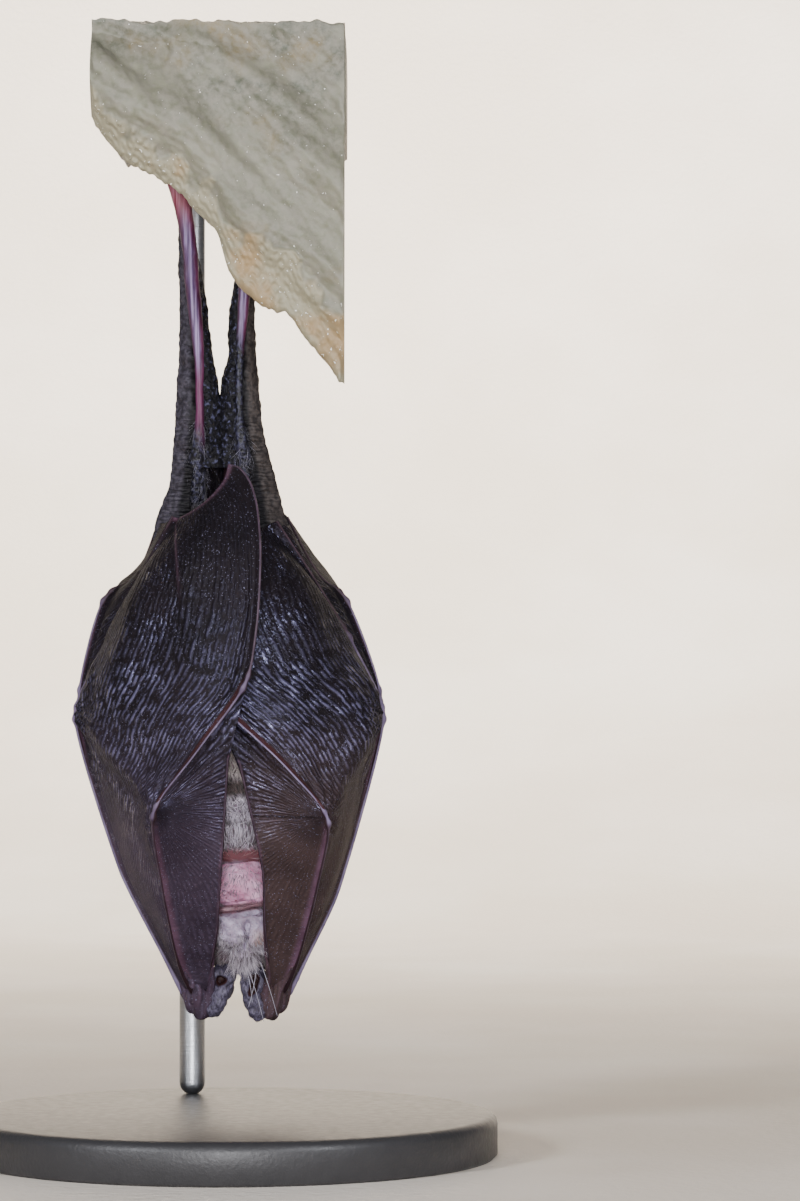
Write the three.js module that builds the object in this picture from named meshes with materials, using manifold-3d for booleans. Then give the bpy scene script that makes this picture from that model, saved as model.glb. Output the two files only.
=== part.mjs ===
// Lesser horseshoe bat at rest: head down, wrapped in its wings, hanging by its toes from
// a cut piece of limestone that a rod holds over a round base.
// Millimetres, +Z up, belly towards -Y, origin at the centre of the base's underside.
import * as THREE from 'three';
import { mergeVertices } from 'three/addons/utils/BufferGeometryUtils.js';
import Module from 'manifold-3d';

const wasm = await Module();
wasm.setup();

// ---- driving dimensions ----
const BASE_RADIUS = 22;
const BASE_HEIGHT = 3.5;
const BASE_EDGE = 0.6;
const ROD_RADIUS = 1.1;
const ROD_AT = [-3.7, 16];
const ROD_TOP = 81.1;             // just under the rock, which rests on it
const GAP = 0.3;                  // clearance between neighbouring solids
const MEMBRANE = 0.6;             // thickness of wing, ear and tail skin
const FINGER_RADIUS = 0.42;
const FOREARM_RADIUS = 0.85;
const WRIST_RADIUS = 1.0;
const KNUCKLE_RADIUS = 0.62;
const SHIN_RADIUS = 0.5;
const THIGH_RADIUS = 1.3;
const TOE_RADIUS = 0.32;
const CLAW_RADIUS = 0.24;
const EYE_RADIUS = 0.55;
const HEAD_X = 0.9;               // the head and rump lie a little right of the base's centre
const TRUNK_X = 0.5;

// Joints of each wing from the wrist at the bottom upwards. The left wing (-X) lies over
// the right one, so its third finger runs further forward.
const WING = {
  l: {
    wrist: [-2.3, 3.4, 12.2],
    digit2: [[-1.8, 1.9, 13.3], [-0.9, -2.6, 17.8], [-0.5, -6.0, 22.6], [0.3, -11.2, 33.0]],
    digit3: [[-2.9, 1.6, 13.2], [-3.9, -0.4, 15.4], [-5.0, -6.0, 21.8], [-5.7, -11.3, 28.7],
      [-2.0, -12.3, 33.6], [1.9, -12.8, 39.0], [2.7, -12.9, 44.0], [2.9, -11.8, 49.8],
      [2.2, -9.4, 54.0], [0.9, -7.7, 56.05], [-0.4, -7.0, 56.3]],
    digit4: [[-3.7, 3.4, 13.0], [-8.9, 2.8, 23.0], [-12.8, 1.8, 36.3], [-9.5, 0.3, 43.0],
      [-6.9, -3.0, 47.8], [-4.3, -5.6, 52.3]],
    digit5: [[-3.8, 5.2, 13.0], [-8.9, 5.3, 23.2], [-12.6, 4.6, 37.6], [-10.3, 3.8, 46.1],
      [-7.7, 3.4, 47.3], [-5.6, 2.2, 52.4]],
    elbow: [-8.1, 8.6, 46.1],
    flank: [-6.5, 8.2, 49.6],
    shoulder: [-6.6, 4.9, 28.4],
    hip: [-4.2, 7.0, 54.0],
  },
  r: {
    wrist: [3.7, 3.4, 12.2],
    digit2: [[3.4, 1.9, 13.4], [2.9, -2.6, 18.4], [2.9, -6.1, 23.8], [1.2, -10.4, 32.6]],
    digit3: [[4.3, 1.6, 13.3], [5.4, -0.5, 15.7], [7.1, -5.6, 21.8], [8.3, -10.6, 28.2],
      [4.6, -10.7, 32.5], [0.2, -10.4, 36.6], [-2.3, -10.1, 39.2], [-2.9, -9.4, 44.0],
      [-3.4, -7.0, 48.4], [-3.7, -4.4, 51.6]],
    digit4: [[5.0, 3.4, 13.1], [8.7, 2.9, 21.2], [12.7, 1.8, 36.3], [9.5, 0.5, 43.0],
      [6.2, -1.2, 48.4], [3.9, -2.9, 52.0]],
    digit5: [[5.2, 5.2, 13.1], [8.8, 5.3, 21.4], [12.4, 4.6, 37.6], [9.3, 3.8, 46.1],
      [7.3, 3.4, 47.3], [4.6, 2.2, 52.4]],
    elbow: [8.4, 8.6, 46.1],
    flank: [6.4, 8.2, 49.6],
    shoulder: [7.6, 4.9, 28.4],
    hip: [4.6, 7.0, 54.0],
  },
};

// Joints of each leg from the hip up to the toes, and the hanging edges of its skin.
const LEG = {
  l: {
    hip: [-2.6, 2.6, 51.5],
    knee: [-2.2, -0.2, 58.6],
    ankle: [-3.5, 0.9, 77.0],
    heel: [-3.6, 1.2, 78.6],
    ball: [-5.2, 1.4, 80.4],
    outer: [[-5.8, 52.4], [-4.9, 54.9], [-4.65, 57.2], [-4.4, 60.8], [-4.15, 65.0], [-4.05, 69.3],
      [-4.3, 75.6]],
    inner: [[-0.84, 58.4], [-0.84, 61.4], [-1.2, 64.2], [-1.72, 67.6], [-1.9, 69.6], [-2.5, 72.8],
      [-2.95, 75.6]],
  },
  r: {
    hip: [3.0, 2.6, 51.5],
    knee: [1.3, -0.2, 58.6],
    ankle: [1.3, 0.9, 76.0],
    heel: [1.3, 1.2, 77.6],
    ball: [1.1, 1.4, 79.9],
    outer: [[4.5, 52.4], [3.6, 56.0], [2.9, 58.6], [2.5, 61.2], [2.2, 64.6], [2.0, 68.2],
      [1.95, 74.6]],
    inner: [[-0.66, 58.4], [-0.68, 61.4], [-0.5, 63.8], [-0.06, 65.6], [-0.04, 68.6], [0.42, 71.6],
      [0.72, 74.6]],
  },
};
const SHIN_SKIN_DEPTH = 1.15;     // how far behind the shin's middle its skin lies

// ---- geometry helpers ----
const vec = (p) => new THREE.Vector3(...p);
const spline = (points) => new THREE.CatmullRomCurve3(points.map(vec), false, 'centripetal');
const mix = (a, b, t) => a + (b - a) * t;

// A curve that runs straight from joint to joint and only turns within `turn` mm of each.
function bones(points, turn = 0.9) {
  const places = points.map(vec);
  const line = [places[0]];
  for (let i = 1; i < places.length - 1; i += 1) {
    for (const other of [places[i - 1], places[i + 1]]) {
      const reach = Math.min(turn, 0.3 * other.distanceTo(places[i]));
      line.push(places[i].clone().lerp(other, reach / other.distanceTo(places[i])));
    }
  }
  line.push(places[places.length - 1]);
  return new THREE.CatmullRomCurve3(line, false, 'centripetal');
}

// A closed body from an index and positions, turned so that its faces point out.
function body(positions, index) {
  let volume = 0;
  const corner = (i) => new THREE.Vector3().fromArray(positions, 3 * i);
  for (let i = 0; i < index.length; i += 3) {
    volume += corner(index[i]).dot(corner(index[i + 1]).cross(corner(index[i + 2])));
  }
  if (volume < 0) index.reverse();
  const geometry = new THREE.BufferGeometry();
  geometry.setAttribute('position', new THREE.Float32BufferAttribute(positions, 3));
  geometry.setIndex(index);
  return geometry;
}

// Skins a stack of rings that all have the same number of points, with a fan at each end.
function loft(rings) {
  const sides = rings[0].length;
  const positions = rings.flat().flatMap((p) => [p.x, p.y, p.z]);
  const index = [];
  const at = (ring, side) => ring * sides + (side % sides);
  for (let ring = 0; ring < rings.length - 1; ring += 1) {
    for (let side = 0; side < sides; side += 1) {
      index.push(at(ring, side), at(ring, side + 1), at(ring + 1, side + 1));
      index.push(at(ring, side), at(ring + 1, side + 1), at(ring + 1, side));
    }
  }
  for (const [ring, flip] of [[0, true], [rings.length - 1, false]]) {
    const centre = new THREE.Vector3();
    rings[ring].forEach((p) => centre.addScaledVector(p, 1 / sides));
    const hub = positions.length / 3;
    positions.push(centre.x, centre.y, centre.z);
    for (let side = 0; side < sides; side += 1) {
      const [a, b] = flip ? [side + 1, side] : [side, side + 1];
      index.push(at(ring, a), at(ring, b), hub);
    }
  }
  return body(positions, index);
}

// A round limb along a curve; radius(t) gives its thickness from end to end.
function limb(curve, radius, steps, sides = 8) {
  const frames = curve.computeFrenetFrames(steps, false);
  const rings = [];
  for (let step = 0; step <= steps; step += 1) {
    const centre = curve.getPointAt(step / steps);
    const ring = [];
    for (let side = 0; side < sides; side += 1) {
      const angle = (2 * Math.PI * side) / sides;
      ring.push(centre.clone()
        .addScaledVector(frames.normals[step], Math.cos(angle) * radius(step / steps))
        .addScaledVector(frames.binormals[step], Math.sin(angle) * radius(step / steps)));
    }
    rings.push(ring);
  }
  return loft(rings);
}

// A skin of even thickness over surface(u, v), closed along its rim.
function sheet(surface, across, along, thickness = MEMBRANE) {
  const nudge = 0.01;
  const front = [];
  const rear = [];
  for (let i = 0; i <= across; i += 1) {
    for (let j = 0; j <= along; j += 1) {
      const [u, v] = [i / across, j / along];
      const du = surface(Math.min(u + nudge, 1), v).sub(surface(Math.max(u - nudge, 0), v));
      const dv = surface(u, Math.min(v + nudge, 1)).sub(surface(u, Math.max(v - nudge, 0)));
      const normal = du.cross(dv).normalize().multiplyScalar(thickness / 2);
      const middle = surface(u, v);
      front.push(middle.clone().add(normal));
      rear.push(middle.clone().sub(normal));
    }
  }
  const count = front.length;
  const positions = [...front, ...rear].flatMap((p) => [p.x, p.y, p.z]);
  const index = [];
  const at = (i, j) => i * (along + 1) + j;
  const quad = (a, b, c, d) => index.push(a, b, c, a, c, d);
  for (let i = 0; i < across; i += 1) {
    for (let j = 0; j < along; j += 1) {
      const face = [at(i, j), at(i + 1, j), at(i + 1, j + 1), at(i, j + 1)];
      quad(...face);
      quad(...face.map((k) => k + count).reverse());
    }
  }
  const rim = [];
  for (let i = 0; i < across; i += 1) rim.push(at(i, 0));
  for (let j = 0; j < along; j += 1) rim.push(at(across, j));
  for (let i = across; i > 0; i -= 1) rim.push(at(i, along));
  for (let j = along; j > 0; j -= 1) rim.push(at(0, j));
  rim.forEach((a, k) => {
    const b = rim[(k + 1) % rim.length];
    quad(b, a, a + count, b + count);
  });
  return body(positions, index);
}

// The skin between two bones: straight from rail to rail, kept clear of both by `margin`,
// and pushed away from the body's own axis by bulge(u) at the middle.
function web(railA, railB, margin, bulge, from = 0, to = 1) {
  return (u, v) => {
    const t = mix(from, to, u);
    const a = railA.getPointAt(t);
    const b = railB.getPointAt(t);
    const trim = Math.min(margin / a.distanceTo(b), 0.42);
    const w = mix(trim, 1 - trim, v);
    const point = a.lerp(b, w);
    const out = new THREE.Vector3(point.x - TRUNK_X, point.y, 0).normalize();
    return point.addScaledVector(out, bulge(u) * 4 * w * (1 - w));
  };
}

// An egg-like stack of oval sections: each row is [height, x, half width, front y, back y].
function ovalStack(rows, steps, sides) {
  const curves = [0, 1, 2, 3, 4].map((k) => spline(rows.map((row, i) => [i, row[k], 0])));
  const rings = [];
  for (let step = 0; step <= steps; step += 1) {
    const [z, x, half, front, back] = curves.map((c) => c.getPoint(step / steps).y);
    const ring = [];
    for (let side = 0; side < sides; side += 1) {
      const angle = (2 * Math.PI * side) / sides;
      const y = mix(front, back, 0.5 - 0.5 * Math.cos(angle));
      ring.push(new THREE.Vector3(x + half * Math.sin(angle), y, z));
    }
    rings.push(ring);
  }
  return loft(rings);
}

function toManifold(geometry) {
  const plain = geometry.clone();
  plain.deleteAttribute('normal');
  plain.deleteAttribute('uv');
  const merged = mergeVertices(plain, 1e-4);
  return new wasm.Manifold(new wasm.Mesh({
    numProp: 3,
    vertProperties: new Float32Array(merged.attributes.position.array),
    triVerts: new Uint32Array(merged.index.array),
  }));
}

function fromManifold(solid) {
  const mesh = solid.getMesh();
  return body(Array.from(mesh.vertProperties), Array.from(mesh.triVerts));
}

const join = (first, ...rest) => fromManifold(
  rest.reduce((sum, geometry) => sum.add(toManifold(geometry)), toManifold(first)),
);
const cut = (first, ...rest) => fromManifold(
  rest.reduce((left, geometry) => left.subtract(toManifold(geometry)), toManifold(first)),
);

function ball(centre, radii, segments = 12) {
  const geometry = new THREE.SphereGeometry(1, segments, Math.round(segments * 0.7));
  geometry.scale(...radii);
  return geometry.translate(...centre);
}

// ---- materials and the group ----
const bat = new THREE.Group();

function add(name, geometry, colour, roughness, metalness = 0) {
  const material = new THREE.MeshStandardMaterial({ color: colour, roughness, metalness });
  const mesh = new THREE.Mesh(geometry, material);
  mesh.name = name;
  bat.add(mesh);
}

const COAT = ['#8f8a94', 0.9];
const SKIN_PINK = ['#c9a3b6', 0.5];
const WING_SKIN = ['#3a3037', 0.45];
const WING_BONE = ['#85748c', 0.45];
const LEG_SKIN = ['#97809f', 0.5];
const HORN = ['#cfc2b4', 0.35];
const LIMESTONE = ['#b3aa98', 0.9];
const PAINTED = ['#2b2b2d', 0.4];
const STEEL = ['#b9bcc0', 0.3, 1];

// ---- trunk, neck, head ----
const TRUNK_ROWS = [
  // height, middle, half width, belly, back
  [25.2, 0.8, 2.2, -2.2, 5.8],
  [26.0, 0.8, 4.4, -3.6, 7.4],
  [28.2, 0.7, 6.0, -5.6, 8.4],
  [32.0, 0.6, 6.8, -7.6, 9.1],
  [37.0, 0.5, 7.4, -8.4, 9.6],
  [43.0, 0.4, 6.6, -7.2, 9.5],
  [48.0, 0.4, 5.0, -4.4, 8.8],
  [52.4, 0.3, 3.3, -1.4, 7.6],
  [54.6, 0.2, 1.8, 1.2, 6.4],
];
const grown = (rows) => rows.map(([z, x, half, front, back], i) => (
  [z + (i ? GAP : -GAP), x, half + GAP, front - GAP, back + GAP]));
const HEAD_ROWS = [
  // depth, half width, middle height, half height: from nape to chin
  [9.2, 0.6, 20.4, 0.7],
  [8.2, 2.4, 20.2, 2.6],
  [6.2, 3.5, 19.7, 4.0],
  [3.6, 3.9, 19.4, 4.7],
  [1.2, 3.6, 19.8, 4.4],
  [-0.8, 3.1, 21.0, 3.3],
  [-1.9, 1.5, 22.0, 1.8],
];

const HEAD_SIDES = 14;

function headSolid() {
  const curves = [0, 1, 2, 3].map((k) => spline(HEAD_ROWS.map((row, i) => [i, row[k], 0])));
  const rings = [];
  const steps = 12;
  for (let step = 0; step <= steps; step += 1) {
    const [y, half, z, tall] = curves.map((c) => c.getPoint(step / steps).y);
    const ring = [];
    for (let side = 0; side < HEAD_SIDES; side += 1) {
      const angle = (2 * Math.PI * side) / HEAD_SIDES;
      ring.push(new THREE.Vector3(
        HEAD_X + half * Math.cos(angle), y, z + tall * Math.sin(angle),
      ));
    }
    rings.push(ring);
  }
  return loft(rings);
}

const NECK_RADII = [3.4, 2.8, 1.8];
const NECK_AT = [HEAD_X, 4.6, 24.6];
const neck = ball(NECK_AT, NECK_RADII, 10);
const neckSocket = ball(NECK_AT, NECK_RADII.map((r) => r + GAP), 10);
const trunk = cut(ovalStack(TRUNK_ROWS, 12, 18), neckSocket);
const EYES = { l: [HEAD_X - 2.75, 0.75, 17.2], r: [HEAD_X + 2.75, 0.75, 17.2] };

// ---- noseleaf: horseshoe plate around the nostrils and the pointed leaf below it ----
const LEAF_TOP = 20.5;
const LEAF_BOTTOM = 15.4;
const LEAF_HALF = 2.6;

function noseleaf(extra = 0) {
  const rings = [];
  for (let step = 0; step <= 8; step += 1) {
    const t = step / 8;
    const z = mix(LEAF_TOP + extra, LEAF_BOTTOM - extra, t);
    const half = (LEAF_HALF + extra) * Math.sqrt(Math.max(1 - (1.9 * t - 0.72) ** 2 * 0.62, 0.02));
    const deep = 0.55 + extra;
    const y = mix(-1.75, 0.85, t ** 1.3);
    const ring = [];
    for (let side = 0; side < 10; side += 1) {
      const angle = (2 * Math.PI * side) / 10;
      ring.push(new THREE.Vector3(
        HEAD_X + half * Math.cos(angle), y + deep * Math.sin(angle), z,
      ));
    }
    rings.push(ring);
  }
  return loft(rings);
}

// ---- ears: scoops that open forwards and lie back under the crown, tips to the rear ----
function ear(side) {
  const sign = side === 'l' ? -1 : 1;
  const middle = spline([
    [HEAD_X + sign * 1.1, -0.5, 13.0],
    [HEAD_X + sign * 1.05, 1.4, 12.3],
    [HEAD_X + sign * 0.82, 4.4, 12.5],
    [HEAD_X + sign * 1.1, 8.4, 13.2],
  ]);
  return (u, v) => {
    const at = middle.getPointAt(u);
    const pinch = 1 - 0.4 * Math.sin(Math.PI * Math.min(u / 0.9, 1)) ** 2;
    const half = 0.85 * (1 - 0.8 * u ** 3) * pinch;
    const across = 2 * v - 1;
    at.x += half * across;
    at.z += 0.8 * half * across * across;
    return at;
  };
}

add('trunk', trunk, ...COAT);
add('neck', neck, ...COAT);
let head = headSolid();
head = cut(head, neckSocket, noseleaf(GAP));
for (const side of ['l', 'r']) {
  head = cut(head, ball(EYES[side], [0.85, 0.85, 0.85], 8));
}
add('head', head, ...COAT);
add('noseleaf', noseleaf(), ...SKIN_PINK);
for (const side of ['l', 'r']) {
  add(`eye_${side}`, ball(EYES[side], [EYE_RADIUS, EYE_RADIUS, EYE_RADIUS], 8), '#14100f', 0.15);
  add(`ear_${side}`, sheet(ear(side), 8, 4), ...WING_SKIN);
}

// ---- wings ----
// A finger bone with a knob at each joint, thinner towards its tip.
function finger(points, knuckles) {
  const curve = bones(points);
  const length = curve.getLength();
  return limb(curve, (t) => {
    const near = knuckles.map((k) => Math.abs(t - k) * length);
    const knob = Math.max(0, 1 - Math.min(...near) / 1.1);
    return mix(FINGER_RADIUS, 0.28, t * t) + (KNUCKLE_RADIUS - FINGER_RADIUS) * knob;
  }, 14, 5);
}

const BULGE = {
  dactyl23: (u) => -0.5 * Math.sin(Math.PI * u),
  dactyl34: (u) => 0.7 + 3.4 * THREE.MathUtils.smoothstep(u, 0.25, 0.6) * (1 - u ** 8),
  dactyl45: () => 0.15,
  plagio: (u) => 0.9 * Math.sin(Math.PI * u),
};

function wing(side) {
  const joints = WING[side];
  const sign = side === 'l' ? -1 : 1;
  const rail2 = bones(joints.digit2);
  const rail3 = bones(joints.digit3);
  const rail3Near = bones(joints.digit3.slice(0, side === 'l' ? 6 : 7));
  const rail4 = bones(joints.digit4);
  const rail5 = bones(joints.digit5);
  const armStart = [joints.wrist[0] + sign * 1.4, 7.0, 13.6];
  const rearRail = spline([armStart, joints.elbow, joints.flank, joints.hip]);
  const [fx, fy, fz] = joints.elbow;
  const forearm = spline([armStart, [mix(armStart[0], fx, 0.5), 8.0, 30], [fx, fy, fz]]);
  const upperArm = spline([
    joints.shoulder,
    [mix(joints.shoulder[0], fx, 0.5), 5.6, 37],
    [fx - sign * 1.7, fy - 2.6, fz - 2.0],
  ]);
  add(`wing_${side}_wrist`, ball(joints.wrist, [WRIST_RADIUS, 1.5, 1.2], 10), ...WING_BONE);
  add(`wing_${side}_forearm`, limb(forearm, (t) => mix(0.6, FOREARM_RADIUS, t), 8, 8), ...WING_BONE);
  add(`wing_${side}_upper_arm`, limb(upperArm, (t) => mix(1.0, 0.7, t), 6, 8), ...WING_BONE);
  add(`wing_${side}_digit2`, finger(joints.digit2, [0.78]), ...WING_BONE);
  add(`wing_${side}_digit3`, finger(joints.digit3, [0.4, 0.64]), ...WING_BONE);
  add(`wing_${side}_digit4`, finger(joints.digit4, [0.57, 0.75]), ...WING_BONE);
  add(`wing_${side}_digit5`, finger(joints.digit5, [0.6, 0.8]), ...WING_BONE);
  const margin = KNUCKLE_RADIUS + GAP + 0.25;
  const webs = {
    web23: sheet(web(rail2, rail3Near, margin + 0.95, BULGE.dactyl23, 0.2, 0.92), 10, 3),
    web34: sheet(web(rail3, rail4, margin, BULGE.dactyl34, 0.08, 1), 14, 6),
    web45: sheet(web(rail4, rail5, margin, BULGE.dactyl45, 0.24, 0.98), 9, 2),
    plagio: sheet(web(rail5, rearRail, FOREARM_RADIUS + GAP + 0.08, BULGE.plagio, 0.1, 1), 10, 4),
  };
  for (const [name, geometry] of Object.entries(webs)) {
    add(`wing_${side}_${name}`, geometry, ...WING_SKIN);
  }
  const thumbRoot = [joints.wrist[0] - sign * 0.5, 6.3, 13.0];
  const thumb = spline([thumbRoot, [thumbRoot[0], 7.4, 14.2], [thumbRoot[0], 7.9, 15.4]]);
  add(`wing_${side}_thumb`, limb(thumb, (t) => mix(0.4, 0.28, t), 4, 6), ...WING_BONE);
}
wing('l');
wing('r');

// ---- legs, feet and claws ----
function foot(side) {
  const leg = LEG[side];
  const sole = limb(spline([leg.heel, leg.ball]), (t) => mix(0.62, 0.95, t), 3, 8);
  const toes = [];
  const claws = [];
  for (let toe = 0; toe < 5; toe += 1) {
    const spread = (toe - 2) * 0.78;
    const root = [leg.ball[0] + spread * 0.55, leg.ball[1] + 0.1, leg.ball[2] - 0.4];
    const middle = [root[0] + spread * 0.4, root[1] - 0.1, leg.ball[2] + 1.2];
    const tip = [root[0] + spread * 0.62, root[1] + 0.9, leg.ball[2] + 2.1];
    toes.push(limb(spline([root, middle, tip]), (t) => mix(0.42, TOE_RADIUS, t), 3, 5));
    const clawTip = [tip[0] + spread * 0.08, tip[1] + 1.75, tip[2] + 0.25];
    const clawMid = [tip[0] + spread * 0.04, tip[1] + 1.0, tip[2] + 0.65];
    const clawRoot = [tip[0], tip[1] + 0.42, tip[2] + 0.32];
    claws.push(limb(spline([clawRoot, clawMid, clawTip]), (t) => mix(CLAW_RADIUS, 0.07, t), 3, 5));
  }
  add(`foot_${side}`, join(sole, ...toes), ...LEG_SKIN);
  claws.forEach((claw, toe) => add(`claw_${side}_${toe + 1}`, claw, ...HORN));
}

for (const side of ['l', 'r']) {
  const leg = LEG[side];
  const sign = side === 'l' ? -1 : 1;
  const thigh = spline([leg.hip, [mix(leg.hip[0], leg.knee[0], 0.5), 1.2, 55.2],
    [leg.knee[0], leg.knee[1] + 0.1, leg.knee[2] - 1.0]]);
  const shin = spline([leg.knee, leg.ankle]);
  const thighSolid = limb(thigh, (t) => mix(THIGH_RADIUS, 0.75, t), 5, 8);
  add(`thigh_${side}`, cut(thighSolid, ovalStack(grown(TRUNK_ROWS), 12, 18)), ...LEG_SKIN);
  add(`shin_${side}`, limb(shin, (t) => SHIN_RADIUS + 0.25 * (1 - t) ** 6, 8, 8), ...LEG_SKIN);
  foot(side);
  // The skin's rails keep to the shin's heights: `clear` mm beside it, or out at the free edge.
  const shinAt = (z) => {
    const t = (z - leg.knee[2]) / (leg.ankle[2] - leg.knee[2]);
    return [mix(leg.knee[0], leg.ankle[0], t), mix(leg.knee[1], leg.ankle[1], t) + SHIN_SKIN_DEPTH];
  };
  const edge = (points) => spline(points.map(([x, z]) => [x, shinAt(z)[1], z]));
  const beside = (points, way) => spline(points.map(([, z]) => {
    const [x, y] = shinAt(z);
    const clear = 0.25 + Math.min(2.1, 0.5 * Math.max(0, leg.knee[2] + 0.8 - z));
    return [x + way * clear, y, z];
  }));
  const outerSkin = web(edge(leg.outer), beside(leg.outer, sign), 0.02, () => 0);
  const innerSkin = web(edge(leg.inner), beside(leg.inner, -sign), 0.02, () => 0);
  add(`leg_${side}_outer_skin`, sheet(outerSkin, 8, 2), ...WING_SKIN);
  add(`leg_${side}_inner_skin`, sheet(innerSkin, 8, 2), ...WING_SKIN);
}

// ---- tail folded down over the back with its skin on each side ----
const TAIL = [[-0.2, 4.6, 61.4], [0.0, 7.9, 58.6], [0.2, 10.0, 54.6], [0.3, 11.2, 48.0],
  [0.4, 11.5, 41.0], [0.4, 11.5, 36.0]];
add('tail', limb(spline(TAIL), (t) => mix(0.5, 0.25, t), 12, 6), ...WING_BONE);
for (const side of ['l', 'r']) {
  const sign = side === 'l' ? -1 : 1;
  const free = spline([
    [sign * 1.6, 3.4, 60.4], [sign * 3.4, 6.6, 57.6], [sign * 4.0, 9.3, 53.6],
    [0.3 + sign * 3.4, 10.6, 47.6], [0.4 + sign * 2.2, 11.2, 41.2], [0.4 + sign * 1.1, 11.4, 36.6],
  ]);
  add(`tail_skin_${side}`, sheet(web(spline(TAIL), free, 0.9, () => 0.1), 10, 2), ...WING_SKIN);
}

// ---- perch: a cut piece of limestone ledge; the toes hook on behind its hanging lip ----
const PERCH_LEFT = -11;
const PERCH_RIGHT = 9.5;
const PERCH_BACK = 19;
const PERCH_CEILING = 83.55;      // underside behind the lip, where the claws hold
const LIP_LINE = [
  [-11, 0, 84.0], [-8.6, 0, 82.7], [-5.0, 0, 79.5], [-2.6, 0, 77.5], [-1.0, 0, 75.0], [0.4, 0, 72.2],
  [1.5, 0, 70.2], [5.1, 0, 69.5], [6.7, 0, 66.5], [9.5, 0, 62.4],
];
const lipLine = spline(LIP_LINE);

// How far the ledge's front swells out, in flutes that run down to the right across it.
function swell(x, z) {
  const across = 0.68 * x + 0.73 * z;
  const along = 0.73 * x - 0.68 * z;
  return 0.45 * Math.sin(0.9 * across + 0.6 * Math.sin(0.35 * along));
}

function perch() {
  const rings = [];
  const steps = 20;
  for (let step = 0; step <= steps; step += 1) {
    const lip = lipLine.getPoint(step / steps);
    const x = mix(PERCH_LEFT, PERCH_RIGHT, step / steps);
    const ripple = 0.5 * Math.sin(1.3 * x) + 0.3 * Math.sin(2.9 * x + 1);
    const ceiling = Math.max(PERCH_CEILING, lip.z + 1.0);
    const top = 92.5 + 0.6 * Math.sin(0.9 * x);
    const front = [0, 0.12, 0.28, 0.45, 0.62, 0.8].map((rise) => {
      const z = mix(lip.z, top, rise);
      return [0.7 * rise - 4.9 - 1.9 * Math.sin(Math.PI * Math.min(1.15 * rise, 1)) - swell(x, z), z];
    });
    const section = [
      ...front,
      [-4.2, top],
      [4.0, top + 0.5 + 0.4 * ripple],
      [12.0, top - 0.2],
      [PERCH_BACK, top - 2.2],
      [PERCH_BACK + 0.4 * ripple, mix(ceiling, top, 0.35)],
      [PERCH_BACK - 1.5, ceiling - 2.2],
      [11.0, ceiling - 0.6],
      [5.5, ceiling],
      [1.0, ceiling],
      [-1.8, ceiling - 0.5],
      [-2.9, mix(lip.z, ceiling, 0.45)],
      [-3.6, lip.z + 0.3],
    ];
    rings.push(section.map(([y, z]) => new THREE.Vector3(x, y, z)));
  }
  return loft(rings);
}
add('perch_rock', perch(), ...LIMESTONE);

// ---- stand ----
const baseProfile = [
  [0, 0], [BASE_RADIUS - 0.2, 0], [BASE_RADIUS, 0.2], [BASE_RADIUS, BASE_HEIGHT - BASE_EDGE],
  [BASE_RADIUS - BASE_EDGE, BASE_HEIGHT], [0, BASE_HEIGHT],
].map((p) => new THREE.Vector2(...p));
const disc = new THREE.LatheGeometry(baseProfile, 36);
disc.rotateX(Math.PI / 2);
add('stand_base', disc, ...PAINTED);
const rodBottom = BASE_HEIGHT + GAP;
const rod = new THREE.CylinderGeometry(ROD_RADIUS, ROD_RADIUS, ROD_TOP - rodBottom, 20);
rod.rotateX(Math.PI / 2);
rod.translate(...ROD_AT, (ROD_TOP + rodBottom) / 2);
add('stand_rod', rod, ...STEEL);

export default bat;
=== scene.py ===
import math

import bmesh
import bpy
import numpy as np
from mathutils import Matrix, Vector
from mathutils.bvhtree import BVHTree


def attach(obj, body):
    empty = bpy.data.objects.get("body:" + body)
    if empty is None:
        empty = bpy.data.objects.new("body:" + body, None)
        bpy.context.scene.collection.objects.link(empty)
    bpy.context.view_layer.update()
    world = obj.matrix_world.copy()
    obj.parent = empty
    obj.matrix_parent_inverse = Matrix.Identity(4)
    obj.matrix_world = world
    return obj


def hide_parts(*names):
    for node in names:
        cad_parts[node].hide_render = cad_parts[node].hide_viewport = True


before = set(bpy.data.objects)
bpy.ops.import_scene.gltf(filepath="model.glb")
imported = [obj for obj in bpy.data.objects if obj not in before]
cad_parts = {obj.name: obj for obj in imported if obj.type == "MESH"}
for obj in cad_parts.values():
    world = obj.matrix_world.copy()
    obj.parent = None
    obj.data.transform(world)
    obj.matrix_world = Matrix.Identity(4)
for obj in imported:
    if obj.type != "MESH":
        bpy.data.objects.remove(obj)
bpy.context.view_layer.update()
MM = 0.001

# The viewpoint: level with the middle of the animal and 400 mm in front of it, through a
# long lens, so that its wrapped wings are seen straight from the belly side.
camera = bpy.data.objects.new("camera", bpy.data.cameras.new("camera"))
DISTANCE, SEEN_HEIGHT = 400, 98.4
camera.data.sensor_width = 36
camera.data.lens = 36 * DISTANCE / SEEN_HEIGHT
camera.data.clip_start = 0.01
camera.location = (14 * MM, -DISTANCE * MM, 45.5 * MM)
camera.rotation_euler = (math.radians(90), 0, 0)
bpy.context.scene.collection.objects.link(camera)
bpy.context.scene.camera = camera


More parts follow.
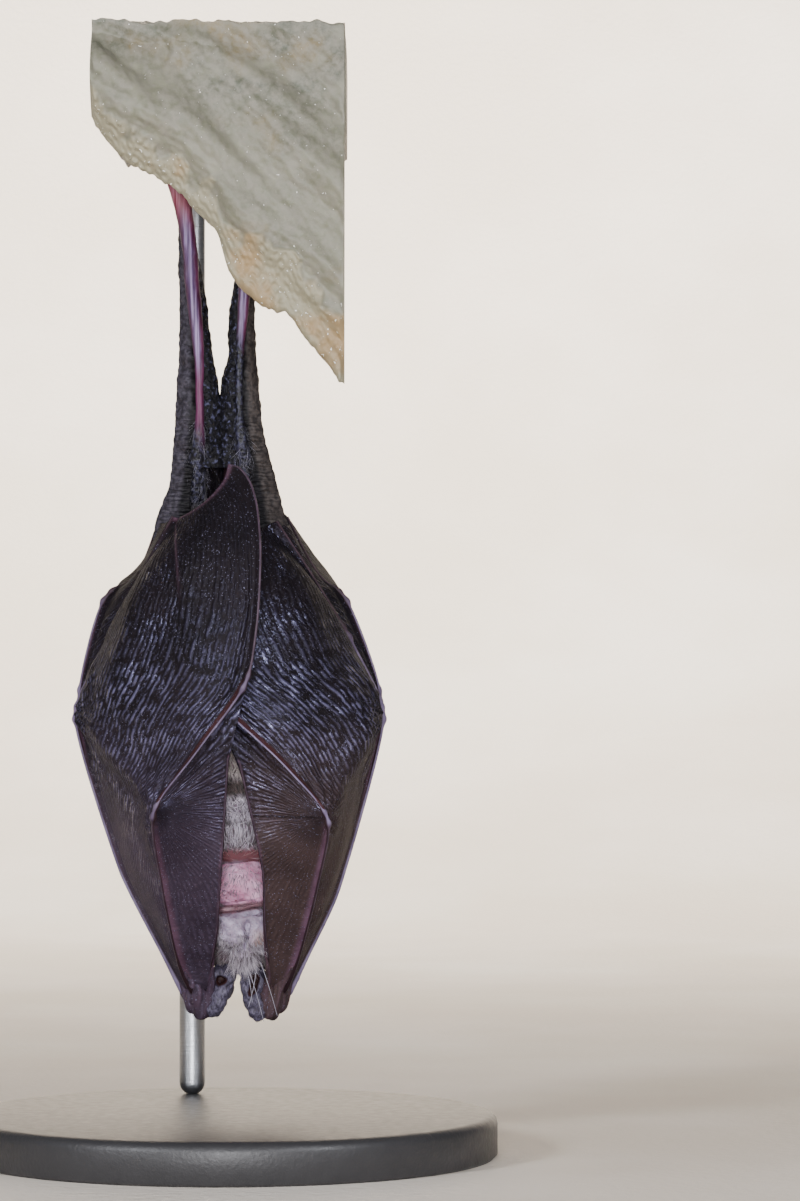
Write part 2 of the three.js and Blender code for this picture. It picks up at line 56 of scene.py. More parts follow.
# The surroundings: a pale floor that curves up into a pale wall, a soft light high on each
# side, a broader one close above the camera for the glints, and a warm one on the wall.
class Socket:
    """A shader socket that can be used in sums, and from which further nodes are made."""

    def __init__(self, tree, out=None):
        self.tree, self.out = tree, out

    def node(self, kind, settings, inputs, output=0):
        made = self.tree.nodes.new(kind)
        for key, value in settings.items():
            setattr(made, key, value)
        for key, value in inputs.items():
            if isinstance(value, Socket):
                self.tree.links.new(value.out, made.inputs[key])
            else:
                made.inputs[key].default_value = value
        return Socket(self.tree, made.outputs[output])

    def math(self, operation, *values):
        return self.node("ShaderNodeMath", {"operation": operation}, dict(enumerate(values)))

    def __add__(self, other):
        return self.math("ADD", self, other)

    def __sub__(self, other):
        return self.math("SUBTRACT", self, other)

    def __rsub__(self, other):
        return self.math("SUBTRACT", other, self)

    def __mul__(self, other):
        return self.math("MULTIPLY", self, other)

    def __pow__(self, other):
        return self.math("POWER", self, other)

    __radd__ = __add__
    __rmul__ = __mul__

    def between(self, low, high):
        """0 at low, 1 at high and smooth in between."""
        return self.node("ShaderNodeMapRange", {"interpolation_type": "SMOOTHSTEP"},
                         {"Value": self, "From Min": low, "From Max": high})

    def tint(self, first, second):
        """The first colour where this is 0, the second where it is 1."""
        return self.node("ShaderNodeMix", {"data_type": "RGBA"},
                         {0: self, 6: shown(first), 7: shown(second)}, 2)

    def times(self, colour):
        """This colour multiplied by another."""
        return self.node("ShaderNodeMix", {"data_type": "RGBA", "blend_type": "MULTIPLY"},
                         {0: 1.0, 6: self, 7: shown(colour)}, 2)

    def place(self):
        """This place, or the shaded point's own where nothing has been worked out yet."""
        return self if self.out else self.node("ShaderNodeTexCoord", {}, {}, "Object")

    def axis(self, name):
        """How far the place lies along X, Y or Z, in metres."""
        return self.node("ShaderNodeSeparateXYZ", {}, {0: self.place()}, name)

    def scaled(self, x, y, z):
        return self.node("ShaderNodeVectorMath", {"operation": "MULTIPLY"},
                         {0: self.place(), 1: (x, y, z)})

    def noise(self, scale, detail=3, roughness=0.55):
        return self.node("ShaderNodeTexNoise", {}, {
            "Vector": self.place(), "Scale": scale, "Detail": detail, "Roughness": roughness})

    def cells(self, scale):
        return self.node("ShaderNodeTexVoronoi", {}, {"Vector": self.place(), "Scale": scale})

    def attribute(self, name):
        return self.node("ShaderNodeAttribute", {"attribute_name": name}, {}, "Fac")

    def bump(self, depth):
        """Relief whose height is this times depth metres."""
        return self.node("ShaderNodeBump", {}, {"Height": self, "Distance": depth}, "Normal")


def shown(colour):
    """A display colour of 0 to 255 as the linear one that shaders use; a socket stays."""
    if isinstance(colour, Socket):
        return colour
    return tuple((c / 255 / 12.92) if c < 11 else ((c / 255 + 0.055) / 1.055) ** 2.4
                 for c in colour) + (1.0,)


def material(name, build):
    """A material whose main shader takes what build(start) returns as {input: value}. Its
    "Film", if any, is a share and the inputs of a second shader that covers that share."""
    made = bpy.data.materials.new(name)
    made.use_nodes = True
    start = Socket(made.node_tree)
    values = build(start)
    share, film = values.pop("Film", (None, None))
    shader = made.node_tree.nodes["Principled BSDF"]
    for key, value in values.items():
        if isinstance(value, Socket):
            made.node_tree.links.new(value.out, shader.inputs[key])
        else:
            shader.inputs[key].default_value = value
    if film:
        over = start.node("ShaderNodeBsdfPrincipled", {}, film)
        both = start.node("ShaderNodeMixShader", {}, {
            0: share, 1: Socket(made.node_tree, shader.outputs[0]), 2: over})
        surface = made.node_tree.nodes["Material Output"].inputs["Surface"]
        made.node_tree.links.new(both.out, surface)
    return made


def linked(name, mesh, finish=None):
    piece = bpy.data.objects.new(name, mesh)
    bpy.context.scene.collection.objects.link(piece)
    if finish:
        mesh.materials.append(finish)
    return piece


def plaster(at):
    patch = at.noise(14, 4)
    grain = at.noise(900, 3)
    return {"Base Color": patch.between(0.35, 0.7).tint((228, 216, 200), (241, 232, 220)),
            "Roughness": 0.9, "Normal": grain.bump(0.0002)}


def backdrop():
    """A floor `flat` long, a quarter bend and a wall, as shares that `size` turns to metres."""
    flat, bend_run, radius = 0.55, 0.35, 0.223
    size, front, half_width = 1.2, -0.42, 0.34
    grid = bmesh.new()
    bmesh.ops.create_grid(grid, x_segments=4, y_segments=60, size=1)
    for corner in grid.verts:
        way = corner.co.y + 1
        bend = min(max(way - flat, 0), bend_run) / bend_run * math.pi / 2
        reach = min(way, flat) + radius * math.sin(bend)
        rise = radius * (1 - math.cos(bend)) + max(way - 0.9, 0)
        corner.co = (corner.co.x * half_width, reach * size + front, rise * size)
    mesh = bpy.data.meshes.new("backdrop")
    grid.to_mesh(mesh)
    grid.free()
    mesh.shade_smooth()
    linked("backdrop", mesh, material("pale_plaster", plaster))


def light(name, place, aim, size, power, colour, spread=180):
    lamp = bpy.data.lights.new(name, "AREA")
    lamp.spread = math.radians(spread)
    lamp.shape = "DISK"
    lamp.size = size
    lamp.energy = power
    lamp.color = colour
    lit = bpy.data.objects.new(name, lamp)
    lit.location = place
    lit.rotation_euler = (Vector(aim) - Vector(place)).to_track_quat("-Z", "Y").to_euler()
    bpy.context.scene.collection.objects.link(lit)


backdrop()
MIDDLE = (0.002, 0, 0.046)
light("left_light", (-0.32, -0.38, 0.20), MIDDLE, 0.09, 1.7, (0.93, 0.95, 1.0))
light("front_light", (0.0, -0.52, 0.075), MIDDLE, 0.14, 2.5, (0.97, 0.97, 1.0))
light("right_light", (0.30, -0.36, 0.22), MIDDLE, 0.08, 1.3, (0.93, 0.95, 1.0))
light("wall_light", (0.0, 0.10, 0.62), (0.0, 0.56, 0.04), 0.3, 2.9, (1.0, 0.95, 0.88), 75)
world = bpy.data.worlds.new("room")
bpy.context.scene.world = world
world.use_nodes = True
world.node_tree.nodes["Background"].inputs["Color"].default_value = shown((226, 222, 224))
world.node_tree.nodes["Background"].inputs["Strength"].default_value = 0.13


# The wings: thin dark skin, stretched from finger to finger and from the last finger to the
# forearm, and wrapped round the body. It is drawn up into folds at the finger joints.
WING = {
    "l": {
        "wrist": (-2.3, 3.4, 12.2),
        "digit2": [(-1.8, 1.9, 13.3), (-0.9, -2.6, 17.8), (-0.5, -6.0, 22.6), (0.3, -11.2, 33.0)],
        "digit3": [(-2.9, 1.6, 13.2), (-3.9, -0.4, 15.4), (-5.0, -6.0, 21.8), (-5.7, -11.3, 28.7),
                   (-2.0, -12.3, 33.6), (1.9, -12.8, 39.0), (2.7, -12.9, 44.0), (2.9, -11.8, 49.8),
                   (2.4, -9.4, 54.0), (1.4, -7.8, 56.0), (0.2, -7.0, 56.45)],
        "digit4": [(-3.7, 3.4, 13.0), (-8.9, 2.8, 23.0), (-12.8, 1.8, 36.3), (-9.5, 0.3, 43.0),
                   (-6.9, -3.0, 47.8), (-4.3, -5.6, 52.3)],
        "digit5": [(-3.8, 5.2, 13.0), (-8.9, 5.3, 23.2), (-12.6, 4.6, 37.6), (-10.3, 3.8, 46.1),
                   (-7.7, 3.4, 47.3), (-5.6, 2.2, 52.4)],
        "elbow": (-8.1, 8.6, 46.1), "flank": (-6.5, 8.2, 49.6),
        "shoulder": (-6.6, 4.9, 28.4), "hip": (-4.2, 7.0, 54.0),
        "first_bones": 6,
    },
    "r": {
        "wrist": (3.7, 3.4, 12.2),
        "digit2": [(3.4, 1.9, 13.4), (2.9, -2.6, 18.4), (2.9, -6.1, 23.8), (1.2, -10.4, 32.6)],
        "digit3": [(4.3, 1.6, 13.3), (5.4, -0.5, 15.7), (7.1, -5.6, 21.8), (8.3, -10.6, 28.2),
                   (4.6, -10.7, 32.5), (0.2, -10.4, 36.6), (-2.3, -10.1, 39.2), (-2.9, -9.4, 44.0),
                   (-3.4, -7.0, 48.4), (-3.7, -4.4, 51.6)],
        "digit4": [(4.6, 3.4, 12.9), (8.7, 2.9, 21.2), (12.7, 1.8, 36.3), (9.5, 0.5, 43.0),
                   (6.2, -1.2, 48.4), (3.9, -2.9, 52.0)],
        "digit5": [(4.3, 4.9, 12.8), (8.8, 5.3, 21.4), (12.4, 4.6, 37.6), (9.3, 3.8, 46.1),
                   (7.3, 3.4, 47.3), (4.6, 2.2, 52.4)],
        "elbow": (8.4, 8.6, 46.1), "flank": (6.4, 8.2, 49.6),
        "shoulder": (7.6, 4.9, 28.4), "hip": (3.9, 6.7, 53.0),
        "first_bones": 7,
    },
}
BODY_AXIS = 0.5
SIDES = {"l": -1, "r": 1}


def curve_through(points):
    """A smooth line through points, as a function from shares of its length to places."""
    steps = 24
    p = np.array(points, float)
    p = np.vstack([2 * p[0] - p[1], p, 2 * p[-1] - p[-2]])
    gap = np.linalg.norm(np.diff(p, axis=0), axis=1) ** 0.5
    places = []
    t = np.linspace(0, 1, steps, endpoint=False)[:, None]
    for i in range(1, len(p) - 2):
        a, b, c = gap[i - 1], gap[i], gap[i + 1]
        out = ((p[i] - p[i - 1]) / a - (p[i + 1] - p[i - 1]) / (a + b) + (p[i + 1] - p[i]) / b) * b
        end = ((p[i + 1] - p[i]) / b - (p[i + 2] - p[i]) / (b + c) + (p[i + 2] - p[i + 1]) / c) * b
        rise = p[i + 1] - p[i]
        places.append(p[i] + out * t + (3 * rise - 2 * out - end) * t ** 2
                      + (out + end - 2 * rise) * t ** 3)
    line = np.vstack(places + [p[-2:-1]])
    run = np.concatenate([[0], np.cumsum(np.linalg.norm(np.diff(line, axis=0), axis=1))])

    def at(share):
        return np.stack([np.interp(np.asarray(share) * run[-1], run, line[:, k])
                         for k in range(3)], axis=-1)

    at.length = run[-1]
    at.shares = run[::steps] / run[-1]
    return at


def bones(points):
    """A line that runs straight from joint to joint and turns within `turn` mm of each."""
    turn = 0.9
    p = np.array(points, float)
    line = [p[0]]
    for i in range(1, len(p) - 1):
        for other in (p[i - 1], p[i + 1]):
            far = np.linalg.norm(other - p[i])
            line.append(p[i] + (other - p[i]) * min(turn, 0.3 * far) / far)
    return curve_through(line + [p[-1]])


def smooth(x, low, high):
    """0 up to low, 1 from high on and smooth in between."""
    t = np.clip((x - low) / (high - low), 0, 1)
    return t * t * (3 - 2 * t)


def hump(away, reach):
    """1 where away is 0, and dying out beyond reach on both sides."""
    return np.exp(-(away / reach) ** 2)


def hills(places, pitch, seed):
    """A smooth unevenness of about -1 to 1 whose swells are `pitch` mm apart."""
    dice = np.random.default_rng(seed)
    total = np.zeros(places.shape[:-1])
    for _ in range(9):
        way = dice.normal(size=3)
        way *= 2 * math.pi / (pitch * np.linalg.norm(way) * dice.uniform(0.7, 1.5))
        total += np.sin(places @ way + dice.uniform(0, 6.28))
    return total / 3


def grid_mesh(name, places):
    """A mesh of rows x columns places in mm."""
    rows, columns = places.shape[:2]
    grid = bmesh.new()
    bmesh.ops.create_grid(grid, x_segments=columns - 1, y_segments=rows - 1, size=0.5)
    mesh = bpy.data.meshes.new(name)
    grid.to_mesh(mesh)
    grid.free()
    mesh.vertices.foreach_set("co", (places * MM).astype(np.float32).ravel())
    mesh.shade_smooth()
    mesh.update()
    return mesh


def store(mesh, **values):
    """Keeps one number for each vertex under each name."""
    for name, value in values.items():
        layer = mesh.attributes.new(name, "FLOAT", "POINT")
        layer.data.foreach_set("value", np.asarray(value, np.float32).ravel())


def stored(mesh, name):
    """The numbers that `store` keeps under a name."""
    values = np.zeros(len(mesh.vertices), np.float32)
    mesh.attributes[name].data.foreach_get("value", values)
    return values


def arm_start(side):
    """Where the forearm begins, behind the wrist."""
    return (WING[side]["wrist"][0] + SIDES[side] * 1.4, 7.0, 13.6)


def wing_lines(side):
    """The lines of the fingers, of the third up to its bend, and of the wing's rear edge."""
    joints = WING[side]
    return {
        2: bones(joints["digit2"]), 3: bones(joints["digit3"]), 4: bones(joints["digit4"]),
        5: bones(joints["digit5"]), "near": bones(joints["digit3"][:joints["first_bones"]]),
        "rear": curve_through([arm_start(side), joints["elbow"], joints["flank"], joints["hip"]]),
    }


def unit(way):
    """Each vector at a length of 1."""
    return way / np.maximum(np.linalg.norm(way, axis=-1, keepdims=True), 1e-6)


def outward(places):
    """The way that points level out of the body's axis at each place."""
    return unit(places * (1, 1, 0) - (BODY_AXIS, 0, 0))


def span(rail_a, rail_b, u, w, bulge):
    """Skin between two rails at share u of their length and w of the way across."""
    middle = rail_a(u) * (1 - w)[..., None] + rail_b(u) * w[..., None]
    return middle + outward(middle) * (bulge * 4 * w * (1 - w))[..., None]


BULGE = {
    3: lambda u: 0.15 * smooth(u, 0, 0.08)
    + 3.9 * smooth(np.clip((u - 0.08) / 0.92, 0, 1), 0.3, 0.62) * (1 - np.clip(u, 0, 1) ** 8),
    4: lambda u: 0.1 + 0 * u,
    5: lambda u: 0.9 * np.sin(math.pi * u),
}


def grain(across, along, pitch, seed):
    """Wavy creases about `pitch` mm apart that run with `along`, both given in mm."""
    dice = np.random.default_rng(seed)
    total = np.zeros(across.shape)
    for _ in range(14):
        close = 2 * math.pi / (pitch * dice.uniform(0.75, 1.5))
        slant = close * dice.normal() * 0.16
        total += np.sin(across * close + along * slant + dice.uniform(0, 6.28))
    return total / 3.7


def fan(places, joint):
    """Distance from a joint and the angle round it seen from the front, in radians."""
    offset = places - np.array(joint)
    return np.linalg.norm(offset, axis=-1), np.arctan2(offset[..., 2], offset[..., 0])


def wing_skin(at):
    wrinkle, across, along, bone, crest, shine = (at.attribute(name) for name in (
        "wrinkle", "lie_across", "lie_along", "bone", "crest", "shine"))
    drift = at.noise(300, 2) * 0.45 + at.noise(110, 1) * 1.4
    line = at.math("SINE", (across + drift) * (2 * math.pi / 0.4))
    stroke = at.node("ShaderNodeCombineXYZ", {}, {0: (across + drift) * 1.6, 1: along * 0.75})
    broken = stroke.noise(1.5, 2, 0.6).between(0.38, 0.62)
    pebble = at.noise(4200, 2)
    patch = at.scaled(0.7, 1, 1.1).noise(300, 2).between(0.40, 0.62)
    blotch = at.noise(160, 3).between(0.3, 0.7)
    height = (line * (broken * 0.34 + 0.08) + broken * 0.5) * wrinkle + pebble * 0.6
    level = at.axis("Z").between(0.038, 0.024)
    waist = at.axis("Z").between(0.047, 0.038)
    right = at.axis("X").between(-0.001, 0.003)
    # Tiny bluish-white specks scattered over the skin: painted glints.
    painted_glint_specks = at.noise(8200, 1).between(0.66, 0.76)
    low = right.tint(blotch.tint((42, 33, 43), (58, 48, 60)),
                     blotch.tint((44, 34, 35), (60, 47, 47)))
    base = level.tint(blotch.tint((14, 10, 14), (24, 18, 23)), low)
    # The crease crests are painted a lighter, bluish colour. These are painted glints, stronger where
    # the skin faces the front (shine) and brightest from the middle of the wing down.
    lit = (line * 0.5 + 0.5) ** 1.5 * broken * wrinkle * (patch * shine * 0.45 + 0.3)
    with_ridge_glints = lit.tint(base, level.tint(waist.tint((38, 35, 46), (106, 103, 136)),
                                       right.tint((96, 84, 106), (94, 76, 73))))
    # The crest colour is the lilac-brown skin over the bone ridges, and also a painted highlight along
    # the flap's fold and top edge.
    banded = crest.tint(with_ridge_glints, blotch.tint((64, 43, 56), (92, 68, 84)))
    banded = bone.tint(banded, blotch.tint((50, 27, 29), (70, 42, 42)))
    colour = painted_glint_specks.tint(banded, (104, 102, 124))
    relief = height.bump(0.0001)
    return {"Base Color": colour, "Roughness": 0.62, "Specular IOR Level": 0.12, "Normal": relief,
            "Film": ((patch * broken + 0.06) * shine, {
                "Base Color": colour, "Roughness": pebble * 0.1 + 0.11,
                "Specular IOR Level": 0.85,
                "Specular Tint": shown((205, 208, 255)), "Normal": relief})}


WING_SKIN = material("wing_skin", wing_skin)


def corner_ridge(places, knee, corner):
    """The long swell between a wing's two front joints, and the hollow under it."""
    knee, corner = np.array(knee)[[0, 2]], np.array(corner)[[0, 2]]
    reach = np.linalg.norm(corner - knee)
    way = (corner - knee) / reach
    flat = places[..., [0, 2]] - knee
    along = flat @ way
    over = np.abs(way[0]) / way[0] * (flat @ np.array([-way[1], way[0]]))
    kept = smooth(along, -0.5, 1.5) * (1 - smooth(along, reach - 2.5, reach - 0.3))
    return kept * (0.5 * hump(over - 0.7, 0.85) - 0.32 * hump(over + 0.9, 0.9))


def finger_joints(rail, digit, side):
    """Shares of a finger's length at which its joints are."""
    found = {2: [], 3: [3, WING[side]["first_bones"] - 1], 4: [2, 3], 5: [2, 3]}[digit]
    return [(rail.shares[2 * i - 1] + rail.shares[2 * i]) / 2 for i in found]


def crossed(rows, columns, first=0):
    """Shares of the way along and across a sheet, at each of its rows x columns places."""
    return np.meshgrid(np.linspace(first, 1, rows), np.linspace(0, 1, columns), indexing="ij")


def fanned(places, hem, relief, knee, corner):
    """The relief with the folds that fan out from a wing's two front joints."""
    free = smooth(hem, 0.1, 0.7)
    far, angle = fan(places, corner)
    fans = (1 - smooth(far, 4, 10)) * smooth(far, 0.4, 1.6) * free
    relief = relief + 0.10 * fans * np.sin(angle * 21 + 1.6 * hills(places, 3.5, 8)) \
        + 0.06 * fans * np.sin(angle * 43 + 1.8 * hills(places, 2.2, 18))
    far, angle = fan(places, knee)
    fans = (1 - smooth(far, 2.5, 6)) * smooth(far, 0.3, 1.6) * free
    relief = relief + 0.09 * fans * np.sin(angle * 24 + hills(places, 3, 9))
    return relief + corner_ridge(places, knee, corner)


def broad_panel(side, rail, places, u, uu, w, near, rear, relief):
    """What the skin from the third finger to the fourth has besides: it sags at its tip, fans
    out from its joints, and shows the bone between the finger's first two joints."""
    hem = np.minimum(near, rear)
    first, last = finger_joints(rail, 3, side)
    started = smooth(uu, first - 0.01, first + 0.01)
    bone = (1 - smooth(near, 0.35, 0.75)) * started * (1 - smooth(uu, last - 0.01, last + 0.01))
    crest = (1 - smooth(near, 0.2, 0.6)) * (1 - started)
    sag = {"l": 0.9, "r": 0.4}[side] * smooth(u, 0.84, 1) * (4 * w * (1 - w)) ** 0.8
    places = places - np.stack([0 * sag, 0 * sag, sag], axis=-1)
    relief = fanned(places, hem, relief, WING[side]["digit3"][3], WING[side]["digit4"][2])
    upper, wrinkle = smooth(uu, 0.33, 0.41), smooth(hem, 0.6, 1.1)
    along, across = uu * rail.length, 0.5 * near + 7.5 * w
    lines = grain(across, along, 0.8, 51) * (0.55 + 0.45 * hills(places, 5, 52))
    bands = hills(places * (0.35, 0.35, 1.15) + (0, 0, 0.3) * places[..., :1], 2.3, 54)
    relief = relief + (0.012 * lines + 0.06 * bands * (0.5 + 0.5 * hills(places, 7, 55))) \
        * upper * wrinkle
    if side == "l":
        x, z = places[..., 0], places[..., 2]
        fold = x - (-4.05 + (52.2 - z) * 0.086)
        relief = relief + (0.26 * smooth(fold, -0.16, 0.1) * (1 - smooth(fold, 0.3, 2.4))
                           - 0.1 * hump(fold + 0.35, 0.25)) * smooth(z, 43, 48)
        # The fold line and the flap's top edge get the lighter crest colour as a painted highlight.
        crest = crest + 0.7 * hump(fold, 0.13) * smooth(z, 45, 49) + 0.8 * smooth(u, 0.988, 0.998)
    return places, relief, bone, crest, wrinkle * (0.6 + 0.4 * upper)


def wing_panels(side):
    """The broad skin from the third finger to the fourth, and the skin behind that."""
    rails = wing_lines(side)
    rows, columns = 290, {3: 125, 4: 25, 5: 45}
    made = {}
    for panel, second in {3: 4, 4: 5, 5: "rear"}.items():
        u, w = crossed(rows, columns[panel], 0.012)
        w = w - 0.06 * np.sin(2 * math.pi * w)
        uu = u * (1 - 0.016 * 4 * w * (1 - w) * smooth(u, 0.7, 1))
        places = span(rails[panel], rails[second], uu, w, BULGE[panel](uu))
        width = np.linalg.norm(rails[panel](uu) - rails[second](uu), axis=-1)
        near, rear = w * width, (1 - w) * width + (9 if second == "rear" else 0)
        hem = np.minimum(near, rear)
        ridge = 0.22 * hump(hem, 0.34) - 0.3 * hump(hem - 0.9, 0.7)
        relief = ridge * smooth(uu, 0.0, 0.12) * smooth(width, 0.6, 2.2)
        relief = relief + 0.2 * hills(places * (1, 1, 0.6), 6.5, panel) * smooth(hem, 0.6, 2.6)
        along = uu * rails[panel].length
        crest = (1 - smooth(rear, 0.12, 0.4)) * (0.8 - 0.7 * smooth(uu, 0.72, 0.8))
        if panel == 3:
            across = 0.5 * near + 7.5 * w
            places, relief, bone, more, wrinkle = broad_panel(
                side, rails[3], places, u, uu, w, near, rear, relief)
            crest = crest + more
        else:
            across = near + 0.8 * along
            wrinkle = smooth(hem, 0.6, 1.1)
            relief = relief + 0.025 * grain(near + 0.4 * along, along, 0.7, 53) * wrinkle
            bone, wrinkle = 0 * hem, wrinkle * 0.6
        places = places + outward(places) * relief[..., None]
        facing = np.cross(np.gradient(places, axis=0), np.gradient(places, axis=1))
        facing = np.abs(facing[..., 1]) / np.linalg.norm(facing, axis=-1)
        # Shine follows how squarely the skin faces the front. It sets the glossy film's share and the
        # strength of the painted ridge glints, and is kept low on the left wing's flap.
        shine = smooth(facing, 0.2, 0.75)
        if side == "l":
            shine = shine * (1 - 0.85 * smooth(places[..., 0], -5.5, -3.0)
                             * smooth(places[..., 2], 35, 41))
        made[panel] = {"place": places, "bone": bone, "wrinkle": wrinkle, "shine": shine,
                       "crest": np.clip(crest, 0, 1), "lie_across": across + 30 * panel,
                       "lie_along": along}
    both = {key: np.concatenate([made[4][key][:, :-1], made[5][key]], axis=1) for key in made[4]}
    for name, parts in (("broad", made[3]), ("rear", both)):
        mesh = grid_mesh(f"wing_{side}_{name}", parts.pop("place"))
        store(mesh, **parts)
        yield mesh


def strip_mesh(side):
    """The narrower skin between the second finger and the near half of the third."""
    rails = wing_lines(side)
    u, w = crossed(240, 60, 0.005)
    places = span(rails[2], rails["near"], u, w, -0.5 * np.sin(math.pi * u))
    width = np.linalg.norm(rails[2](u) - rails["near"](u), axis=-1)
    hem = (1 - w) * width
    far, angle = fan(places, WING[side]["digit3"][3])
    upper = smooth(places[..., 2], 25.5, 29.0)
    ridge = 0.22 * hump(hem, 0.34) - 0.2 * hump(hem - 1.0, 0.6)
    lines = grain(angle * 7.5, far, 0.7, 61) * smooth(far, 0.8, 2.5)
    relief = 0.05 * lines * upper * smooth(hem, 0.1, 0.5) \
        + 0.12 * hills(places, 4.0, 6) * smooth(hem, 0.5, 2)
    places = places + outward(places) * (ridge * smooth(width, 0.6, 2.2) + relief)[..., None]
    mesh = grid_mesh(f"wing_{side}_strip", places)
    edge = 1 - smooth(w * width, 0.1, 0.35)
    store(mesh, crest=np.clip((1 - smooth(hem, 0.2, 0.55)) * (1 - upper) + 0.6 * edge, 0, 1),
          wrinkle=0.5 + 0.5 * upper * smooth(hem, 0.2, 0.5), shine=0.3 + 0.7 * upper,
          lie_across=angle * 7.5, lie_along=far)
    return mesh


def ready(piece, slot, *nodes):
    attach(piece, "root")
    if nodes:
        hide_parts(*nodes)


def fitted(mesh, finish, slot, *nodes):
    """The mesh as a piece that stands for CAD nodes."""
    ready(linked(mesh.name, mesh, finish), slot, *nodes)


def skin_piece(mesh, finish, thickness, *nodes):
    """A thin double-sided skin over a one-layer mesh."""
    piece = linked(mesh.name, mesh, finish)
    thick = piece.modifiers.new("thickness", "SOLIDIFY")
    thick.thickness = thickness * MM
    thick.offset = 0
    ready(piece, "wing_skin", *nodes)


for side in SIDES:
    broad, rear = wing_panels(side)
    skin_piece(broad, WING_SKIN, 0.16, f"wing_{side}_web34")
    skin_piece(rear, WING_SKIN, 0.16, f"wing_{side}_web45", f"wing_{side}_plagio")
    skin_piece(strip_mesh(side), WING_SKIN, 0.16, f"wing_{side}_web23")


# The finger bones: thin rods under the wing's skin, knobbed where two bones meet, lilac
# along their crowns where the skin is drawn tight over them.
def tube_mesh(name, line, radius, around=14, steps=160, up=outward):
    """A closed round tube along a line; radius(shares) is in mm. It stores how far a point
    faces outwards as `crown` and its share of the length as `along`."""
    quarter, rings = math.pi / 2, 7
    cap = np.sin(np.linspace(0, quarter, rings))
    first, last = radius(np.array([0.0, 1.0])) / line.length
    shares = np.concatenate([first * (1 - np.cos(np.linspace(0, quarter, rings))),
                             np.linspace(first, 1 - last, steps)[1:-1],
                             1 - last * (1 - np.cos(np.linspace(quarter, 0, rings)))])
    rounding = np.concatenate([cap, np.ones(steps - 2), cap[::-1]])
    centre = line(shares)
    ahead = unit(np.gradient(centre, axis=0))
    top = up(centre)
    top = unit(top - ahead * np.sum(top * ahead, axis=1, keepdims=True))
    side = np.cross(ahead, top)
    turn = np.linspace(0, 2 * math.pi, around + 1)
    ring = top[:, None] * np.cos(turn)[None, :, None] + side[:, None] * np.sin(turn)[None, :, None]
    size = (radius(shares) * rounding)[:, None, None]
    mesh = grid_mesh(name, centre[:, None] + ring * size)
    store(mesh, crown=np.broadcast_to(np.cos(turn), (len(shares), around + 1)),
          along=np.broadcast_to(shares[:, None], (len(shares), around + 1)))
    return welded(mesh)


def welded(*meshes):
    """One mesh of several, with points that coincide made one and faces turned outwards."""
    work = bmesh.new()
    for mesh in meshes:
        work.from_mesh(mesh)
    bmesh.ops.remove_doubles(work, verts=work.verts, dist=1e-7)
    bmesh.ops.recalc_face_normals(work, faces=work.faces)
    made = bpy.data.meshes.new(meshes[0].name)
    work.to_mesh(made)
    work.free()
    made.shade_smooth()
    return made


def finger_skin(at):
    crown = at.attribute("crown").between(0.5, 0.98)
    patch = at.noise(700, 3)
    lit = patch.between(0.3, 0.7).tint((98, 86, 114), (128, 116, 148))
    dull = patch.between(0.3, 0.7).tint((42, 29, 35), (64, 47, 55))
    return {"Base Color": crown.tint((40, 26, 31), at.attribute("pale").tint(dull, lit)),
            "Roughness": 0.5, "Specular IOR Level": 0.2, "Normal": patch.bump(0.0001)}


FINGER_SKIN = material("finger_skin", finger_skin)


def finger(side, digit):
    """A finger's rod, knobbed on both sides of each joint. Its `pale` is 1 where it is lilac."""
    rail = wing_lines(side)[digit]
    at_joint = finger_joints(rail, digit, side)
    slim = {2: 0.08, 3: 0.12, 4: 0.2, 5: 0.17}[digit]

    def radius(share):
        size = slim + (0.1 - slim) * share ** 1.5 + 0.12 * (1 - smooth(share, 0, 0.1))
        for joint in at_joint:
            away = (share - joint) * rail.length
            size = size + 0.14 * hump(away - 0.5, 0.38) + 0.2 * hump(away + 0.55, 0.42)
        return size

    def upwards(centre):
        return unit(outward(centre) + ((0, 0, 0) if digit < 4 else (0, -1.6, 0)))

    def line(share):
        centre = rail(share)
        return centre + upwards(centre) * 0.14

    line.length = rail.length
    mesh = tube_mesh(f"wing_{side}_finger_{digit}", line, radius, steps=260, up=upwards)
    share = stored(mesh, "along")
    if digit == 3:
        first, last = at_joint
        pale = 0.12 + {"l": 0.36, "r": 0.8}[side] * smooth(share, first - 0.02, first) \
            * (1 - smooth(share, last, last + 0.02))
    elif digit == 2:
        pale = 0.1 + 0 * share
    else:
        pale = 0.75 - 0.72 * smooth(share, at_joint[1] - 0.06, at_joint[1] + 0.02)
    store(mesh, pale=pale)
    return mesh


for side in SIDES:
    for digit in (2, 3, 4, 5):
        mesh = finger(side, digit)
        fitted(mesh, FINGER_SKIN, "finger_skin", f"wing_{side}_digit{digit}")


# The arms: the forearm along the rear of the wing, the upper arm against the flank, the
# folded wrist at the bottom with its skin bunched over it, and a short, tapering thumb.
def arm_line(side):
    elbow = WING[side]["elbow"]
    start = arm_start(side)
    return curve_through([start, ((start[0] + elbow[0]) / 2, 8.0, 30), elbow])


def boned(node, line, radius, steps=160):
    """A tube in the fingers' skin that stands for the node of the same name."""
    fitted(tube_mesh(node, line, radius, steps=steps), FINGER_SKIN, "finger_skin", node)


def blob(centre, radii, rings=16, around=24):
    """A ball stretched to three radii, in mm."""
    ball = bmesh.new()
    bmesh.ops.create_uvsphere(ball, u_segments=around, v_segments=rings, radius=1)
    for corner in ball.verts:
        corner.co = [(c + r * v) * MM for c, r, v in zip(centre, radii, corner.co)]
    mesh = bpy.data.meshes.new("blob")
    ball.to_mesh(mesh)
    ball.free()
    return mesh


